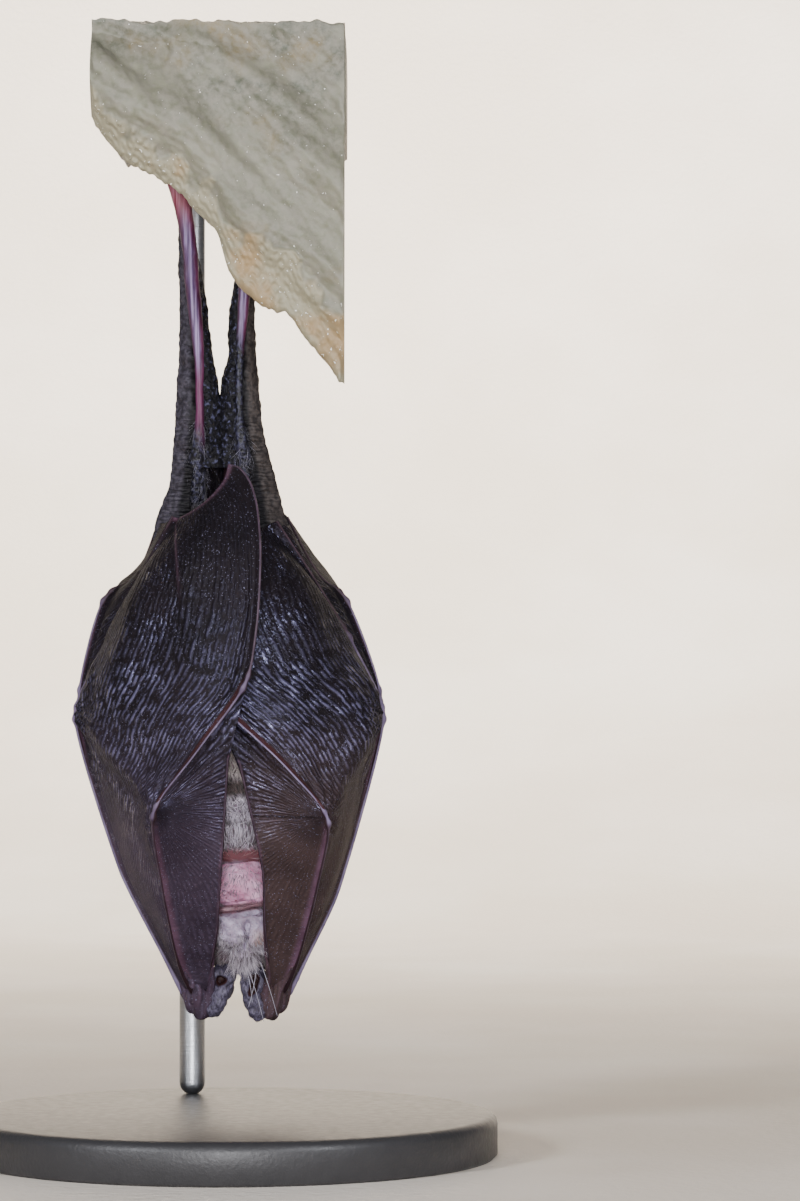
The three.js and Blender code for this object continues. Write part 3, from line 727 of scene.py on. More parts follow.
def melted(name, parts, voxel, softening):
    """One closed skin over parts that overlap, at an even grain of voxel mm."""
    tub = linked(name, welded(*parts))
    melt = tub.modifiers.new("melt", "REMESH")
    melt.mode = "VOXEL"
    melt.voxel_size = voxel * MM
    soft = tub.modifiers.new("soft", "SMOOTH")
    soft.factor = 0.5
    soft.iterations = softening
    seen = tub.evaluated_get(bpy.context.evaluated_depsgraph_get())
    mesh = bpy.data.meshes.new_from_object(seen)
    mesh.name = name
    bpy.data.objects.remove(tub)
    mesh.shade_smooth()
    return mesh


def spots(mesh):
    """A mesh's points in mm and their normals."""
    co = np.zeros(len(mesh.vertices) * 3, np.float32)
    normal = np.zeros(len(mesh.vertices) * 3, np.float32)
    mesh.vertices.foreach_get("co", co)
    mesh.vertices.foreach_get("normal", normal)
    return co.reshape(-1, 3).astype(float) / MM, normal.reshape(-1, 3).astype(float)


def moved(mesh, places):
    """Moves a mesh's points to places in mm."""
    mesh.vertices.foreach_set("co", (places * MM).astype(np.float32).ravel())
    mesh.update()


for side, sign in SIDES.items():
    joints = WING[side]
    boned(f"wing_{side}_forearm", arm_line(side), lambda t: 0.5 + 0.3 * t)
    elbow, shoulder = np.array(joints["elbow"]), np.array(joints["shoulder"])
    upper = curve_through([shoulder, ((shoulder[0] + elbow[0]) / 2, 5.6, 37),
                           elbow - (sign * 1.7, 2.6, 2.0)])
    boned(f"wing_{side}_upper_arm", upper, lambda t: 0.95 - 0.3 * t)
    wrist = np.array(joints["wrist"])
    x = wrist[0] if side == "l" else wrist[0] - 0.5
    knuckles = [blob((x + sign * 0.4, 3.3, 13.1), (1.0, 1.6, 1.3))]
    for digit, inward, y, z in ((2, 0.5, 2.2, 11.2), (3, 0.05, 2.1, 11.0), (4, -0.5, 3.0, 11.4),
                                (5, -0.4, 4.2, 12.2)):
        rail = wing_lines(side)[digit]
        start = [rail(share / rail.length) for share in (3.2, 1.8, 0.2)]
        back = [place - outward(place) * depth for place, depth in zip(start, (0.06, 0.16, 0.42))]
        knuckles.append(tube_mesh("knuckle", curve_through(back + [(x - sign * inward, y, z)]),
                                  lambda t: 0.14 + 0.6 * smooth(t, 0.1, 0.9), steps=50))
    bunch = melted(f"wing_{side}_wrist", knuckles, 0.075, 4)
    places, normal = spots(bunch)
    pleats = grain(places[:, 0] * 0.8 + places[:, 1], places[:, 2], 0.7, 5)
    moved(bunch, places + normal * (0.06 * pleats)[:, None])
    store(bunch, crest=0.15 + 0.15 * pleats, wrinkle=0.6 + 0 * pleats, shine=0.4 + 0 * pleats,
          lie_across=places[:, 0], lie_along=places[:, 2])
    fitted(bunch, WING_SKIN, "wing_skin", f"wing_{side}_wrist")
    root = (wrist[0] - sign * 0.5, 6.3, 13.0)
    thumb = curve_through([root, (root[0], 7.4, 14.2), (root[0], 7.9, 15.4)])
    boned(f"wing_{side}_thumb", thumb, lambda t: 0.36 - 0.22 * t, steps=60)


# The trunk, neck, head and thighs: one unbroken soft skin, melted together out of rounded
# forms that lie inside the solids by the coat's depth, so that the coat can stand on it.
def stacked(rows, along, inset=0.0):
    """A rounded solid through rows of (place along its axis, x, half width, middle, half depth).
    The axis is y for 1 and z for 2."""
    ball = bmesh.new()
    bmesh.ops.create_uvsphere(ball, u_segments=56, v_segments=48, radius=1)
    mesh = bpy.data.meshes.new("stacked")
    ball.to_mesh(mesh)
    ball.free()
    round_one = spots(mesh)[0] * MM
    table = np.array(rows, float)
    share = np.arccos(np.clip(round_one[:, 2], -1, 1)) / math.pi * (len(table) - 1)
    line = [np.interp(share, np.arange(len(table)), table[:, k]) for k in range(5)]
    around = np.maximum(np.hypot(round_one[:, 0], round_one[:, 1]), 1e-6)
    core = np.minimum(around / 0.1, 1)
    u = line[1] + (line[2] - inset) * core * round_one[:, 0] / around
    v = line[3] + (line[4] - inset) * core * round_one[:, 1] / around
    middle = (table[0, 0] + table[-1, 0]) / 2
    half = abs(table[0, 0] - table[-1, 0]) / 2
    line[0] = middle + (line[0] - middle) * (1 - inset / half)
    places = (u, line[0], v) if along == 1 else (u, v, line[0])
    moved(mesh, np.stack(places, axis=1))
    return mesh


TRUNK = [(z, x, half, (front + back) / 2, (back - front) / 2) for z, x, half, front, back in (
    (25.2, 0.8, 2.2, -2.2, 5.8), (26.0, 0.8, 4.4, -3.6, 7.4), (28.2, 0.7, 6.0, -5.6, 8.4),
    (32.0, 0.6, 6.8, -7.6, 9.1), (37.0, 0.5, 7.4, -8.4, 9.6), (43.0, 0.4, 6.6, -7.2, 9.5),
    (48.0, 0.4, 5.0, -4.4, 8.8), (52.4, 0.3, 3.3, -1.4, 7.6), (54.6, 0.2, 1.8, 1.2, 6.4))]
HEAD_X = 0.9
HEAD = [(y, HEAD_X, half, z, tall) for y, half, z, tall in (
    (9.2, 0.6, 20.4, 0.7), (8.2, 2.4, 20.2, 2.6), (6.2, 3.5, 19.7, 4.0), (3.6, 3.9, 19.4, 4.7),
    (1.4, 3.6, 19.8, 4.4), (-0.1, 3.1, 21.0, 3.3), (-1.0, 1.5, 22.0, 1.8))]
LEG = {
    "l": {"line": [(-2.9, 1.9, 53.4, 0.95), (-2.75, 0.8, 56.4, 0.8), (-2.45, -0.1, 58.8, 0.5),
                   (-2.42, 0.0, 60.8, 0.34), (-2.43, 0.15, 63.0, 0.34), (-2.48, 0.3, 65.0, 0.4),
                   (-2.62, 0.45, 67.2, 0.5), (-2.85, 0.6, 69.5, 0.6), (-3.08, 0.75, 71.7, 0.64),
                   (-3.22, 0.85, 74.0, 0.64), (-3.62, 1.0, 76.7, 0.68), (-3.98, 1.2, 78.6, 0.78),
                   (-4.4, 1.4, 80.2, 0.88), (-4.75, 1.5, 81.0, 0.9)],
          "outer": [(-6.3, 50.6), (-5.8, 52.4), (-4.9, 54.9), (-4.65, 57.2), (-4.4, 60.8),
                    (-4.15, 65.0), (-4.05, 69.3), (-4.15, 74.4), (-4.1, 77.2)],
          "inner": [(-0.8, 56.4), (-0.78, 61.4), (-1.2, 64.2), (-1.72, 67.6), (-1.9, 69.6),
                    (-2.5, 72.8), (-2.95, 75.4), (-3.15, 77.2)]},
    "r": {"line": [(1.9, 1.9, 53.4, 0.95), (1.3, 0.8, 56.4, 0.8), (1.0, -0.1, 58.8, 0.48),
                   (0.85, 0.0, 60.8, 0.32), (0.8, 0.15, 63.0, 0.3), (0.84, 0.3, 65.0, 0.31),
                   (0.95, 0.45, 67.2, 0.38), (1.15, 0.55, 69.5, 0.48), (1.3, 0.7, 71.7, 0.56),
                   (1.35, 0.8, 74.0, 0.6), (1.35, 1.0, 76.4, 0.68), (1.25, 1.2, 78.2, 0.8),
                   (1.1, 1.4, 79.9, 0.9)],
          "outer": [(5.3, 50.4), (4.5, 52.4), (3.6, 56.0), (2.9, 58.6), (2.5, 61.2), (2.2, 64.6),
                    (2.0, 68.2), (1.95, 73.6), (1.75, 76.0)],
          "inner": [(-0.76, 56.4), (-0.78, 61.4), (-0.5, 63.8), (-0.06, 65.6), (-0.04, 68.6),
                    (0.42, 71.6), (0.72, 74.2), (0.9, 76.0)]},
}


def coat_base(at):
    """The colour of the coat at a place: brown-grey behind, pale lilac-grey in front, with a
    brown band at the throat and a reddish one above the chin, white-grey on the face and
    nearly black on the rump."""
    depth = at.axis("Y")
    height = at.axis("Z")
    mottle = at.noise(380, 3).between(0.3, 0.7)
    back = mottle.tint((96, 82, 78), (122, 106, 98))
    warm = mottle.tint((188, 173, 172), (222, 210, 206))
    lilac = mottle.tint((200, 189, 206), (236, 227, 242))
    belly = height.between(0.0300, 0.0318).tint(lilac, warm)
    wavy = height + (mottle - 0.5) * 0.0006
    band = wavy.between(0.0296, 0.0302) * wavy.between(0.0316, 0.0308)
    belly = band.tint(belly, (98, 82, 80))
    throat = wavy.between(0.0240, 0.0244) * wavy.between(0.0255, 0.0249)
    belly = throat.tint(belly, (186, 128, 134))
    crown = mottle.tint((166, 154, 168), (208, 199, 212))
    rump = height.between(0.0515, 0.0535)
    dark = mottle.tint((13, 12, 17), (33, 31, 41))
    front = depth.between(0.004, -0.002)
    face = height.between(0.0240, 0.0225).tint(belly, crown)
    return rump.tint(front.tint(back, face), dark)


def body_skin(at):
    grain = at.noise(2600, 3)
    return {"Base Color": coat_base(at).times((182, 168, 174)), "Roughness": 0.75,
            "Normal": grain.bump(0.00012)}


def thigh_line(side):
    root, middle, knee = (np.array(row[:3]) for row in LEG[side]["line"][:3])
    return curve_through([root + (0, 0.9, -1.9), root + (0, 0.2, 0), middle + (0, 0.2, 0), knee])


COAT_DEPTH = 0.7
skin = melted("body_skin", [
    stacked(TRUNK, 2, COAT_DEPTH), stacked(HEAD, 1, COAT_DEPTH),
    blob((HEAD_X, 4.4, 24.6), (3.2, 2.7, 2.6)), blob((HEAD_X, 2.6, 16.9), (3.0, 2.0, 2.2)),
    blob((HEAD_X, 0.6, 26.4), (4.4, 3.4, 2.6)),
    *[tube_mesh("thigh", thigh_line(side), lambda t: 0.9 - 0.5 * t, steps=60) for side in SIDES],
    blob((HEAD_X, 4.4, 23.4), (3.8, 3.3, 4.0)), blob((0.8, 3.8, 26.8), (4.9, 4.3, 2.8)),
], 0.19, 8)
places, normal = spots(skin)
moved(skin, places + normal * (0.12 * hills(places, 3.5, 11) + 0.04 * hills(places, 1.1, 12))[:, None])
fitted(skin, material("body_skin", body_skin), "coat", "trunk", "neck", "head", "thigh_l", "thigh_r")


# The face: a bare, swollen pink chin, a ridge at the lip, the horseshoe plate with its two
# nostril pads and groove, and a small pointed leaf below it.
def face_skin(at):
    height, side = at.axis("Z"), at.axis("X")
    blush = at.noise(520, 3).between(0.3, 0.7)
    patch = at.noise(900, 3).between(0.35, 0.65)
    level = height - side * 0.14
    chin = level.between(0.0205, 0.0207)
    ridge = level.between(0.01975, 0.0200)
    pore = at.cells(1250).between(0.0, 0.2)
    pink = blush.tint((210, 141, 175), (235, 186, 216))
    right = side.between(0.0015, 0.0024) * height.between(0.0190, 0.0180)
    pad = right.tint(patch.tint((150, 134, 156), (196, 182, 206)),
                     patch.tint((122, 98, 92), (160, 140, 146)))
    orange = blush.tint((122, 88, 98), (152, 120, 130))
    flesh = chin.tint(ridge.tint(pad, orange), pore.tint((150, 84, 92), pink))
    grain = at.noise(5000, 2)
    return {"Base Color": flesh, "Roughness": 0.45, "Specular IOR Level": 0.35,
            "Subsurface Weight": 0.15, "Subsurface Radius": (0.0006, 0.0003, 0.0003),
            "Subsurface Scale": 1.0, "Normal": (grain + pore * 0.5 + patch * 1.5).bump(0.00008)}


chin = [blob((HEAD_X, 0.35, 22.4), (2.75, 2.15, 2.15)),
        blob((HEAD_X + 1.3, 0.2, 22.0), (1.5, 1.9, 1.5)),
        blob((HEAD_X - 1.2, 0.3, 21.9), (1.4, 1.8, 1.3))]
lip = tube_mesh("lip", curve_through([(-1.7, 0.2, 20.4), (-0.6, -1.35, 20.35), (0.9, -1.75, 20.45),
                                      (2.4, -1.45, 20.75), (3.4, 0.2, 20.9)]), lambda t: 0.3 + 0 * t)
plate = [blob((0.35, -0.95, 18.5), (1.2, 0.6, 1.3)), blob((2.3, -0.85, 18.4), (1.05, 0.55, 1.3)),
         blob((HEAD_X + 0.3, -0.5, 19.4), (2.4, 0.85, 0.6)), blob((1.1, -0.2, 17.0), (1.0, 0.42, 1.0)),
         blob((HEAD_X, 0.6, 18.8), (2.6, 1.5, 2.0))]
face = melted("face_skin", chin + [lip] + plate, 0.075, 3)
places, normal = spots(face)
x, y, z = places.T
groove = hump(x - 1.45 - 0.1 * (z - 18), 0.13) * smooth(z, 16.6, 17.4) * smooth(-z, -19.6, -19.0)
slit = hump(z - 19.95 - 0.16 * (x - 1.9), 0.13) * smooth(x, 0.9, 1.5) * smooth(-x, -3.0, -2.4)
crease = hump(z - 20.75 - 0.14 * (x - 0.9), 0.16)
from_swirl = np.hypot(x + 0.3, z - 21.5)
swirl = hump(from_swirl, 0.55) * np.cos(from_swirl * 14)
front = smooth(-y, 0.0, 0.6)
relief = -0.42 * groove - 0.45 * slit - 0.22 * crease + 0.07 * swirl \
    + 0.05 * hills(places, 1.3, 21) + 0.03 * hills(places, 0.6, 22)
moved(face, places + normal * (relief * front)[:, None])
fitted(face, material("face_skin", face_skin), "bare_skin", "noseleaf")


# The eyes: small wet black balls at the sides of the face, half sunk in the fur, each in a
# ring of bare dark lid skin.
def eye_wet(at):
    return {"Base Color": at.noise(900, 2).tint((8, 6, 7), (22, 14, 12)),
            "Roughness": 0.08, "Coat Weight": 1.0}


def lid_skin(at):
    return {"Base Color": at.noise(2400, 2).tint((60, 46, 52), (92, 74, 82)),
            "Roughness": 0.5, "Normal": at.noise(5200, 2).bump(0.0001)}


EYE_WET, LID_SKIN = material("wet_eye", eye_wet), material("eyelid", lid_skin)
for side, sign in SIDES.items():
    middle = (HEAD_X + sign * 2.75, 0.75, 17.2)
    eye = blob(middle, (0.5, 0.5, 0.5), 24, 36)
    eye.name = f"eyeball_{side}"
    eye.shade_smooth()
    fitted(eye, EYE_WET, "eye", f"eye_{side}")
    turn = np.linspace(0, 2 * math.pi, 40)
    way = unit(np.array([sign * 0.75, -0.62, -0.25]))
    flat = unit(np.cross(way, (0, 0, 1.0)))
    rise = np.cross(flat, way)
    ring = np.array(middle) + way * 0.16 + 0.5 * np.cos(turn)[:, None] * flat \
        + 0.42 * np.sin(turn)[:, None] * rise
    lids = tube_mesh(f"eyelids_{side}", curve_through(ring), lambda t: 0.14 + 0 * t, steps=120,
                     up=lambda centre: np.broadcast_to(way, centre.shape))
    fitted(lids, LID_SKIN, "bare_skin")


# The ears: horn-shaped cups below the crown, open to the front with a dark red hollow, and
# drawn out to a point that lies back under the head.
def ear_skin(at):
    inside = at.attribute("inside")
    fuzz = at.scaled(1, 1, 0.5).noise(7000, 3)
    outer = fuzz.between(0.35, 0.65).tint((44, 38, 52), (84, 78, 98))
    edge = (inside + fuzz * 0.5 - 0.25).between(0.1, 0.6).tint(outer, (70, 28, 24))
    return {"Base Color": inside.between(0.5, 1.0).tint(edge, (38, 10, 8)), "Roughness": 0.6,
            "Normal": fuzz.bump(0.0001)}


EAR_SKIN = material("ear_skin", ear_skin)
EARS = {
    "l": {"rim": [(-1.7, 1.9, 11.4), (-1.0, 1.5, 12.3), (-0.62, 1.3, 13.4), (-0.12, 1.4, 14.6),
                  (0.1, 2.0, 15.8)], "hollow": (-0.66, 14.2), "wide": (0.5, 0.42)},
    "r": {"rim": [(2.6, 1.9, 11.0), (2.0, 1.5, 12.2), (1.68, 1.3, 13.5), (1.48, 1.4, 14.6),
                  (1.4, 2.0, 15.8)], "hollow": (1.97, 14.0), "wide": (0.42, 0.8)},
}
for side, sign in SIDES.items():
    (x, z), (half, tall) = EARS[side]["hollow"], EARS[side]["wide"]
    middle = curve_through([(x, 1.4, z), (x, 2.4, 13.4), (HEAD_X + sign * 1.9, 5.0, 13.0),
                            (HEAD_X + sign * 1.5, 8.3, 13.2)])
    lobe = melted(f"ear_{side}_cup", [
        tube_mesh("horn", middle, lambda t: 0.95 * (1 - t ** 1.5) + 0.05, steps=80),
        blob((x + sign * 0.2, 1.8, z + 0.2), (0.95, 1.0, 1.2)),
        tube_mesh("rim", curve_through(EARS[side]["rim"]), lambda t: 0.7 + 0 * t, steps=60),
    ], 0.07, 6)
    places, normal = spots(lobe)
    off = np.hypot((places[:, 0] - x) / half, (places[:, 2] - z) / tall)
    off = off + 0.3 * hills(places, 0.9, 41)
    hollow = (1 - smooth(off, 0.55, 1.2)) * smooth(-places[:, 1], -1.8, -1.0)
    places = places + normal * (0.07 * hills(places, 0.8, 7))[:, None]
    moved(lobe, places + np.outer(hollow, (0, 1.2, 0)))
    store(lobe, inside=hollow)
    fitted(lobe, EAR_SKIN, "ear_skin", f"ear_{side}")


# The legs: bare lilac-pink shins and feet, melted into one skin from the thigh to the toes,
# each foot with five long toes whose hooked horn claws hold on behind the rock's lip.
def leg_skin(at):
    height = at.axis("Z")
    right = at.axis("X").between(-0.001, 0.0)
    flank = at.attribute("flank") + at.noise(900, 2) * 0.5 - 0.25
    lines = at.scaled(3.4, 1, 0.09).noise(1800, 3)
    pebble = at.noise(3000, 2)
    lilac = lines.between(0.34, 0.66).tint((62, 38, 76), (142, 122, 162))
    pink = lines.between(0.34, 0.66).tint((58, 22, 46), (94, 44, 76))
    red = lines.between(0.3, 0.7).tint((98, 34, 46), (146, 92, 106))
    # At the bottom of each leg the skin is dark, turning bluish where the pebbles stand high. This is
    # its own dark tone with painted glints on the pebbles.
    dark = pebble.between(0.42, 0.68).tint((14, 13, 18), (52, 51, 72))
    edge = flank.between(-0.2, -0.85).tint(flank.between(0.15, 0.75).tint(lilac, pink), (72, 48, 66))
    shin = height.between(0.0755, 0.0785).tint(edge, red)
    shin = height.between(0.0665, 0.0630).tint(shin, pink)
    bare = (height + flank * 0.0008 + right * -0.0078).between(0.0606, 0.0578)
    return {"Base Color": bare.tint(shin, dark), "Roughness": 0.42, "Specular IOR Level": 0.3,
            "Normal": (lines * (1 - bare) + pebble * bare * 2.0).bump(0.00009)}


def claw_horn(at):
    along = at.attribute("along")
    return {"Base Color": along.tint((96, 74, 60), (190, 170, 146)),
            "Roughness": 0.3, "Normal": at.noise(4000, 2).bump(0.00004)}


LEG_SKIN, CLAW_HORN = material("leg_skin", leg_skin), material("claw_horn", claw_horn)
for side in SIDES:
    rows = np.array(LEG[side]["line"])
    shin = curve_through(rows[:, :3])
    parts = [tube_mesh("shin", shin, lambda t: np.interp(t, shin.shares, rows[:, 3]), steps=300)]
    x, y, z = rows[-1, :3]
    for toe in range(5):
        spread = (toe - 2) * 0.78
        root = (x + spread * 0.55, y + 0.1, z - 0.4)
        bend = (root[0] + spread * 0.4, root[1] - 0.1, z + 1.2)
        tip = (root[0] + spread * 0.62, root[1] + 0.9, z + 2.1)
        parts.append(tube_mesh("toe", curve_through([root, bend, tip]),
                               lambda t: 0.33 - 0.06 * t + 0.05 * hump(t - 0.55, 0.1), steps=50))
        hook = curve_through([(tip[0], tip[1] + 0.05, tip[2] + 0.15),
                              (tip[0] + spread * 0.04, tip[1] + 1.0, tip[2] + 0.65),
                              (tip[0] + spread * 0.08, tip[1] + 1.75, tip[2] + 0.25)])
        claw = tube_mesh(f"claw_{side}_{toe + 1}_hook", hook,
                         lambda t: 0.23 * (1 - t) ** 0.7 + 0.02, steps=50)
        fitted(claw, CLAW_HORN, "claw", f"claw_{side}_{toe + 1}")
    mesh = melted(f"leg_{side}_bare", parts, 0.1, 3)
    places, normal = spots(mesh)
    moved(mesh, places + normal * (0.02 * hills(places, 1.6, 4))[:, None])
    middle, size = (np.interp(places[:, 2], rows[:, 2], rows[:, k]) for k in (0, 3))
    store(mesh, flank=(places[:, 0] - middle) / size)
    fitted(mesh, LEG_SKIN, "leg_skin", f"shin_{side}", f"foot_{side}")


# The skin along each leg: narrow dark strips, finely ribbed across, with uneven edges. The two
# inner ones meet below the crotch, in front of the tail.
def strip_skin(at):
    height = at.axis("Z")
    drift = at.noise(900, 2) * 0.0005
    ribs = at.math("SINE", (height + drift) * (2 * math.pi / 0.00034))
    ribs = ribs * height.between(0.0640, 0.0570)
    inner, width = at.attribute("inner"), at.attribute("width")
    pebble = at.noise(3000, 2)
    tone = pebble.between(0.35, 0.65)
    side = at.axis("X").between(-0.002, 0.002)
    outer = side.tint(tone.tint((38, 35, 41), (64, 60, 69)),
                      tone.tint((38, 34, 34), (62, 56, 54)))
    # Next to the shin each strip turns near black: painted shade in the groove along the shin.
    outer = width.between(0.5, 0.28).tint(outer, tone.tint((9, 8, 10), (20, 18, 22)))
    # The inner strips are near black, with bluish-white tops on the raised pebbles as painted glints.
    pebbles_with_painted_glints = pebble.between(0.55, 0.7).tint(tone.tint((9, 8, 11), (20, 19, 26)), (66, 66, 90))
    return {"Base Color": inner.tint(outer, pebbles_with_painted_glints), "Roughness": 0.55, "Specular IOR Level": 0.18,
            "Normal": (ribs * (1 - inner) * 0.35 + pebble * (1.2 + 1.8 * inner)).bump(0.00009)}


STRIP_SKIN = material("strip_skin", strip_skin)
for side, sign in SIDES.items():
    leg, rows = LEG[side], np.array(LEG[side]["line"])

    def on_shin(z):
        """The place on the shin's front at a height, from which the strips start."""
        return np.array([np.interp(z, rows[:, 2], rows[:, 0]), 0.06 * (z - 62), z])

    for edge, way in (("outer", sign), ("inner", -sign)):
        free = curve_through([(x, on_shin(z)[1] + 1.15 - 0.8 * smooth(z, 72, 77), z)
                              for x, z in leg[edge]])
        held = curve_through([on_shin(z) + (way * (0.05 + min(0.25, 0.1 * max(0, 58.6 - z))), 0.5, 0)
                              for _, z in leg[edge]])
        u, w = crossed(230, 20)
        base = held(u) * (1 - w)[..., None] + free(u) * w[..., None]
        nubs = 0.045 * hills(base * (0, 0, 1), 0.75, 15) * smooth(w, 0.5, 1)
        ripple = 0.16 * hills(base, 1.6, 9) - 0.35 * np.sin(math.pi * w)
        base = base + np.stack([way * nubs, ripple, 0 * ripple], axis=-1)
        mesh = grid_mesh(f"leg_{side}_{edge}_strip", base)
        store(mesh, inner=np.full(w.shape, float(edge == "inner")), width=w)
        skin_piece(mesh, STRIP_SKIN, 0.22, f"leg_{side}_{edge}_skin")


# The tail: thin, with six swellings at its joints, folded down over the back. Its skin lies
# gathered on each side of it and starts at the legs.
TAIL = curve_through([(-0.1, 3.6, 52.6), (-0.2, 4.0, 57.6), (-0.2, 5.1, 60.6), (0.0, 7.9, 58.6),
                      (0.2, 10.0, 54.6), (0.3, 11.2, 48.0), (0.4, 11.5, 41.0), (0.4, 11.5, 36.0)])


def tail_radius(share):
    joint = np.maximum(0, np.cos(share * 2 * math.pi * 6)) ** 8
    return 0.42 - 0.22 * share + 0.3 * hump(share, 0.1) + 0.09 * joint


fitted(tube_mesh("tail_rod", TAIL, tail_radius, steps=200), FINGER_SKIN, "finger_skin", "tail")
for side, sign in SIDES.items():
    start = np.array(LEG[side]["line"][3][:3]) + (0, 0.5, 0)
    free = curve_through([start, (sign * 1.9, 3.6, 60.2), (sign * 2.3, 6.6, 57.4),
                          (sign * 3.0, 9.3, 53.6), (0.3 + sign * 3.4, 10.6, 47.6),
                          (0.4 + sign * 2.2, 11.2, 41.2), (0.4 + sign * 1.1, 11.4, 36.6)])
    u, w = crossed(160, 28)
    places = span(TAIL, free, u, w, 0.2 + 0 * u)
    gather = 0.16 * np.sin(w * 16 + 1.5 * hills(places, 5, 3)) + 0.15 * hills(places, 3, 4)
    places = places + outward(places) * gather[..., None]
    mesh = grid_mesh(f"tail_skin_{side}_web", places)
    store(mesh, bone=0 * w, wrinkle=0.7 + 0 * w, lie_across=w * 4, lie_along=u * 6)
    skin_piece(mesh, WING_SKIN, 0.2, f"tail_skin_{side}")


# The coat: soft tufts that lie along the body from the head towards the tail, long on the
# trunk and short on the head. Each tuft is a thin closed blade, darker at its root.
def coat_fur(at):
    along, dice = at.attribute("along"), at.attribute("dice")
    base = coat_base(at)
    root = base.times((120, 106, 104))
    tone = (along.between(0.1, 0.8) * 0.8 + dice * 0.35).between(0.0, 1.1)
    return {"Base Color": tone.tint(root, base), "Roughness": 0.55, "Sheen Weight": 0.2}


COAT_FUR = material("coat_fur", coat_fur)


def tufts(name, mesh, count, shape, seed, finish=COAT_FUR):
    """Tufts over a skin, in pieces. shape(places, normals) gives, for each root: the chance that
    it is kept, the way its tip points, its length and its width in mm."""
    dice = np.random.default_rng(seed)
    places, normals = spots(mesh)
    mesh.calc_loop_triangles()
    corners = np.zeros(len(mesh.loop_triangles) * 3, np.int32)
    mesh.loop_triangles.foreach_get("vertices", corners)
    corners = corners.reshape(-1, 3)
    a, b, c = (places[corners[:, k]] for k in range(3))
    area = np.linalg.norm(np.cross(b - a, c - a), axis=1)
    pick = np.searchsorted(np.cumsum(area), dice.uniform(0, area.sum(), count))
    pick = np.clip(pick, 0, len(area) - 1)
    share = dice.dirichlet((1, 1, 1), count)
    root = sum(places[corners[pick, k]] * share[:, k:k + 1] for k in range(3))
    normal = unit(sum(normals[corners[pick, k]] * share[:, k:k + 1] for k in range(3)))
    chance, way, length, width = shape(root, normal)
    kept = dice.uniform(0, 1, count) < chance
    root, normal, way, length, width = (x[kept] for x in (root, normal, way, length, width))
    way = way + 0.22 * dice.normal(size=way.shape)
    way = unit(way - normal * np.sum(way * normal, axis=1, keepdims=True))
    across = np.cross(normal, way)
    length = length * dice.uniform(0.7, 1.25, len(length))
    lift = dice.uniform(0.28, 0.5, len(length))
    tone = dice.uniform(0, 1, len(length))
    per_piece, steps = 18000, (0.0, 0.55, 1.0)
    rings = []
    for t in steps:
        centre = root - normal * 0.08 + length[:, None] * (
            way * t + normal * (lift * t * (1 - 0.6 * t))[:, None])
        thick = (width * (1 - t) ** 0.7)[:, None]
        for x, y in ((-0.87, -0.4), (0.87, -0.4), (0.0, 0.6)):
            rings.append(centre + across * thick * x + normal * thick * y)
            if t == 1.0:
                break
    blades = np.stack(rings, axis=1)
    points = blades.shape[1]
    quads = [(k, (k + 1) % 3, 3 + (k + 1) % 3, 3 + k) for k in range(3)]
    tips = [(3 + k, 3 + (k + 1) % 3, 6) for k in range(3)] + [(2, 1, 0)]
    sizes = [4] * len(quads) + [3] * len(tips)
    loops = np.array([i for face in quads + tips for i in face])
    low, high = places.min(0), places.max(0)
    starts = np.concatenate([[0], np.cumsum(sizes)[:-1]])
    for number in range(math.ceil(len(blades) / per_piece)):
        part = slice(number * per_piece, (number + 1) * per_piece)
        some = blades[part]
        n = len(some)
        each = np.arange(n)[:, None]
        coat = bpy.data.meshes.new(f"{name}_{number + 1}")
        coat.vertices.add(n * points)
        coat.vertices.foreach_set("co", (some * MM).astype(np.float32).ravel())
        coat.loops.add(n * len(loops))
        coat.loops.foreach_set("vertex_index", (loops + points * each).astype(np.int32).ravel())
        coat.polygons.add(n * len(sizes))
        coat.polygons.foreach_set("loop_start", (starts + len(loops) * each).astype(np.int32).ravel())
        coat.update(calc_edges=True)
        spot = root[part] - (low + high) / 2
        u = 0.5 + np.arctan2(spot[:, 0], -spot[:, 1]) / (2 * math.pi)
        v = (root[part][:, 2] - low[2]) / (high[2] - low[2])
        lay = coat.uv_layers.new(name="OFBake")
        patch = np.stack([(loops % 3) / 3, (loops // 3) / 4], axis=-1) * 0.003 - 0.0015
        where = np.clip(np.stack([u, v], axis=-1), 0.002, 0.998)[:, None, :] + patch[None]
        lay.data.foreach_set("uv", where.astype(np.float32).ravel())
        store(coat, along=np.broadcast_to(np.repeat(steps, 3)[:points], (n, points)),
              dice=np.broadcast_to(tone[part][:, None], (n, points)))
        coat.shade_smooth()
        fitted(coat, finish, "coat")


READY = bpy.context.evaluated_depsgraph_get()
WRAP = [BVHTree.FromObject(bpy.data.objects[f"wing_{side}_{part}"], READY)
        for side in SIDES for part in ("broad", "rear", "strip")]


def clear_of_wings(root, normal, reach=1.3):
    """Whether nothing of the wings is within reach mm outside each place."""
    return np.array([all(tree.ray_cast(Vector(a * MM), Vector(b), reach * MM)[0] is None
                         for tree in WRAP) for a, b in zip(root - normal * 0.3, normal)])


def body_coat(root, normal):
    x, y, z = root.T
    head = smooth(-z, -25.5, -24.0)
    front = smooth(-y, -1.0, 0.2)
    bare = smooth(-y, -0.2, 0.5) * smooth(z, 18.0, 18.8) * head
    nose = root - np.array([1.0, -2.5, 20.5])
    way = unit(np.where(head[:, None] > 0.5, nose * (1, 1, 0.8), np.array([0.0, 0.15, 1.0])))
    rump = smooth(z, 51.5, 53.0)
    length = (2.2 - 1.2 * head) * (1 - 0.55 * rump)
    free = ((z < 49) | (np.abs(x) < 3.4)) * clear_of_wings(root, normal)
    kept = (1 - bare) * (1 - 0.85 * rump) * free
    return kept, way, length, 0.085 - 0.035 * head - 0.03 * rump


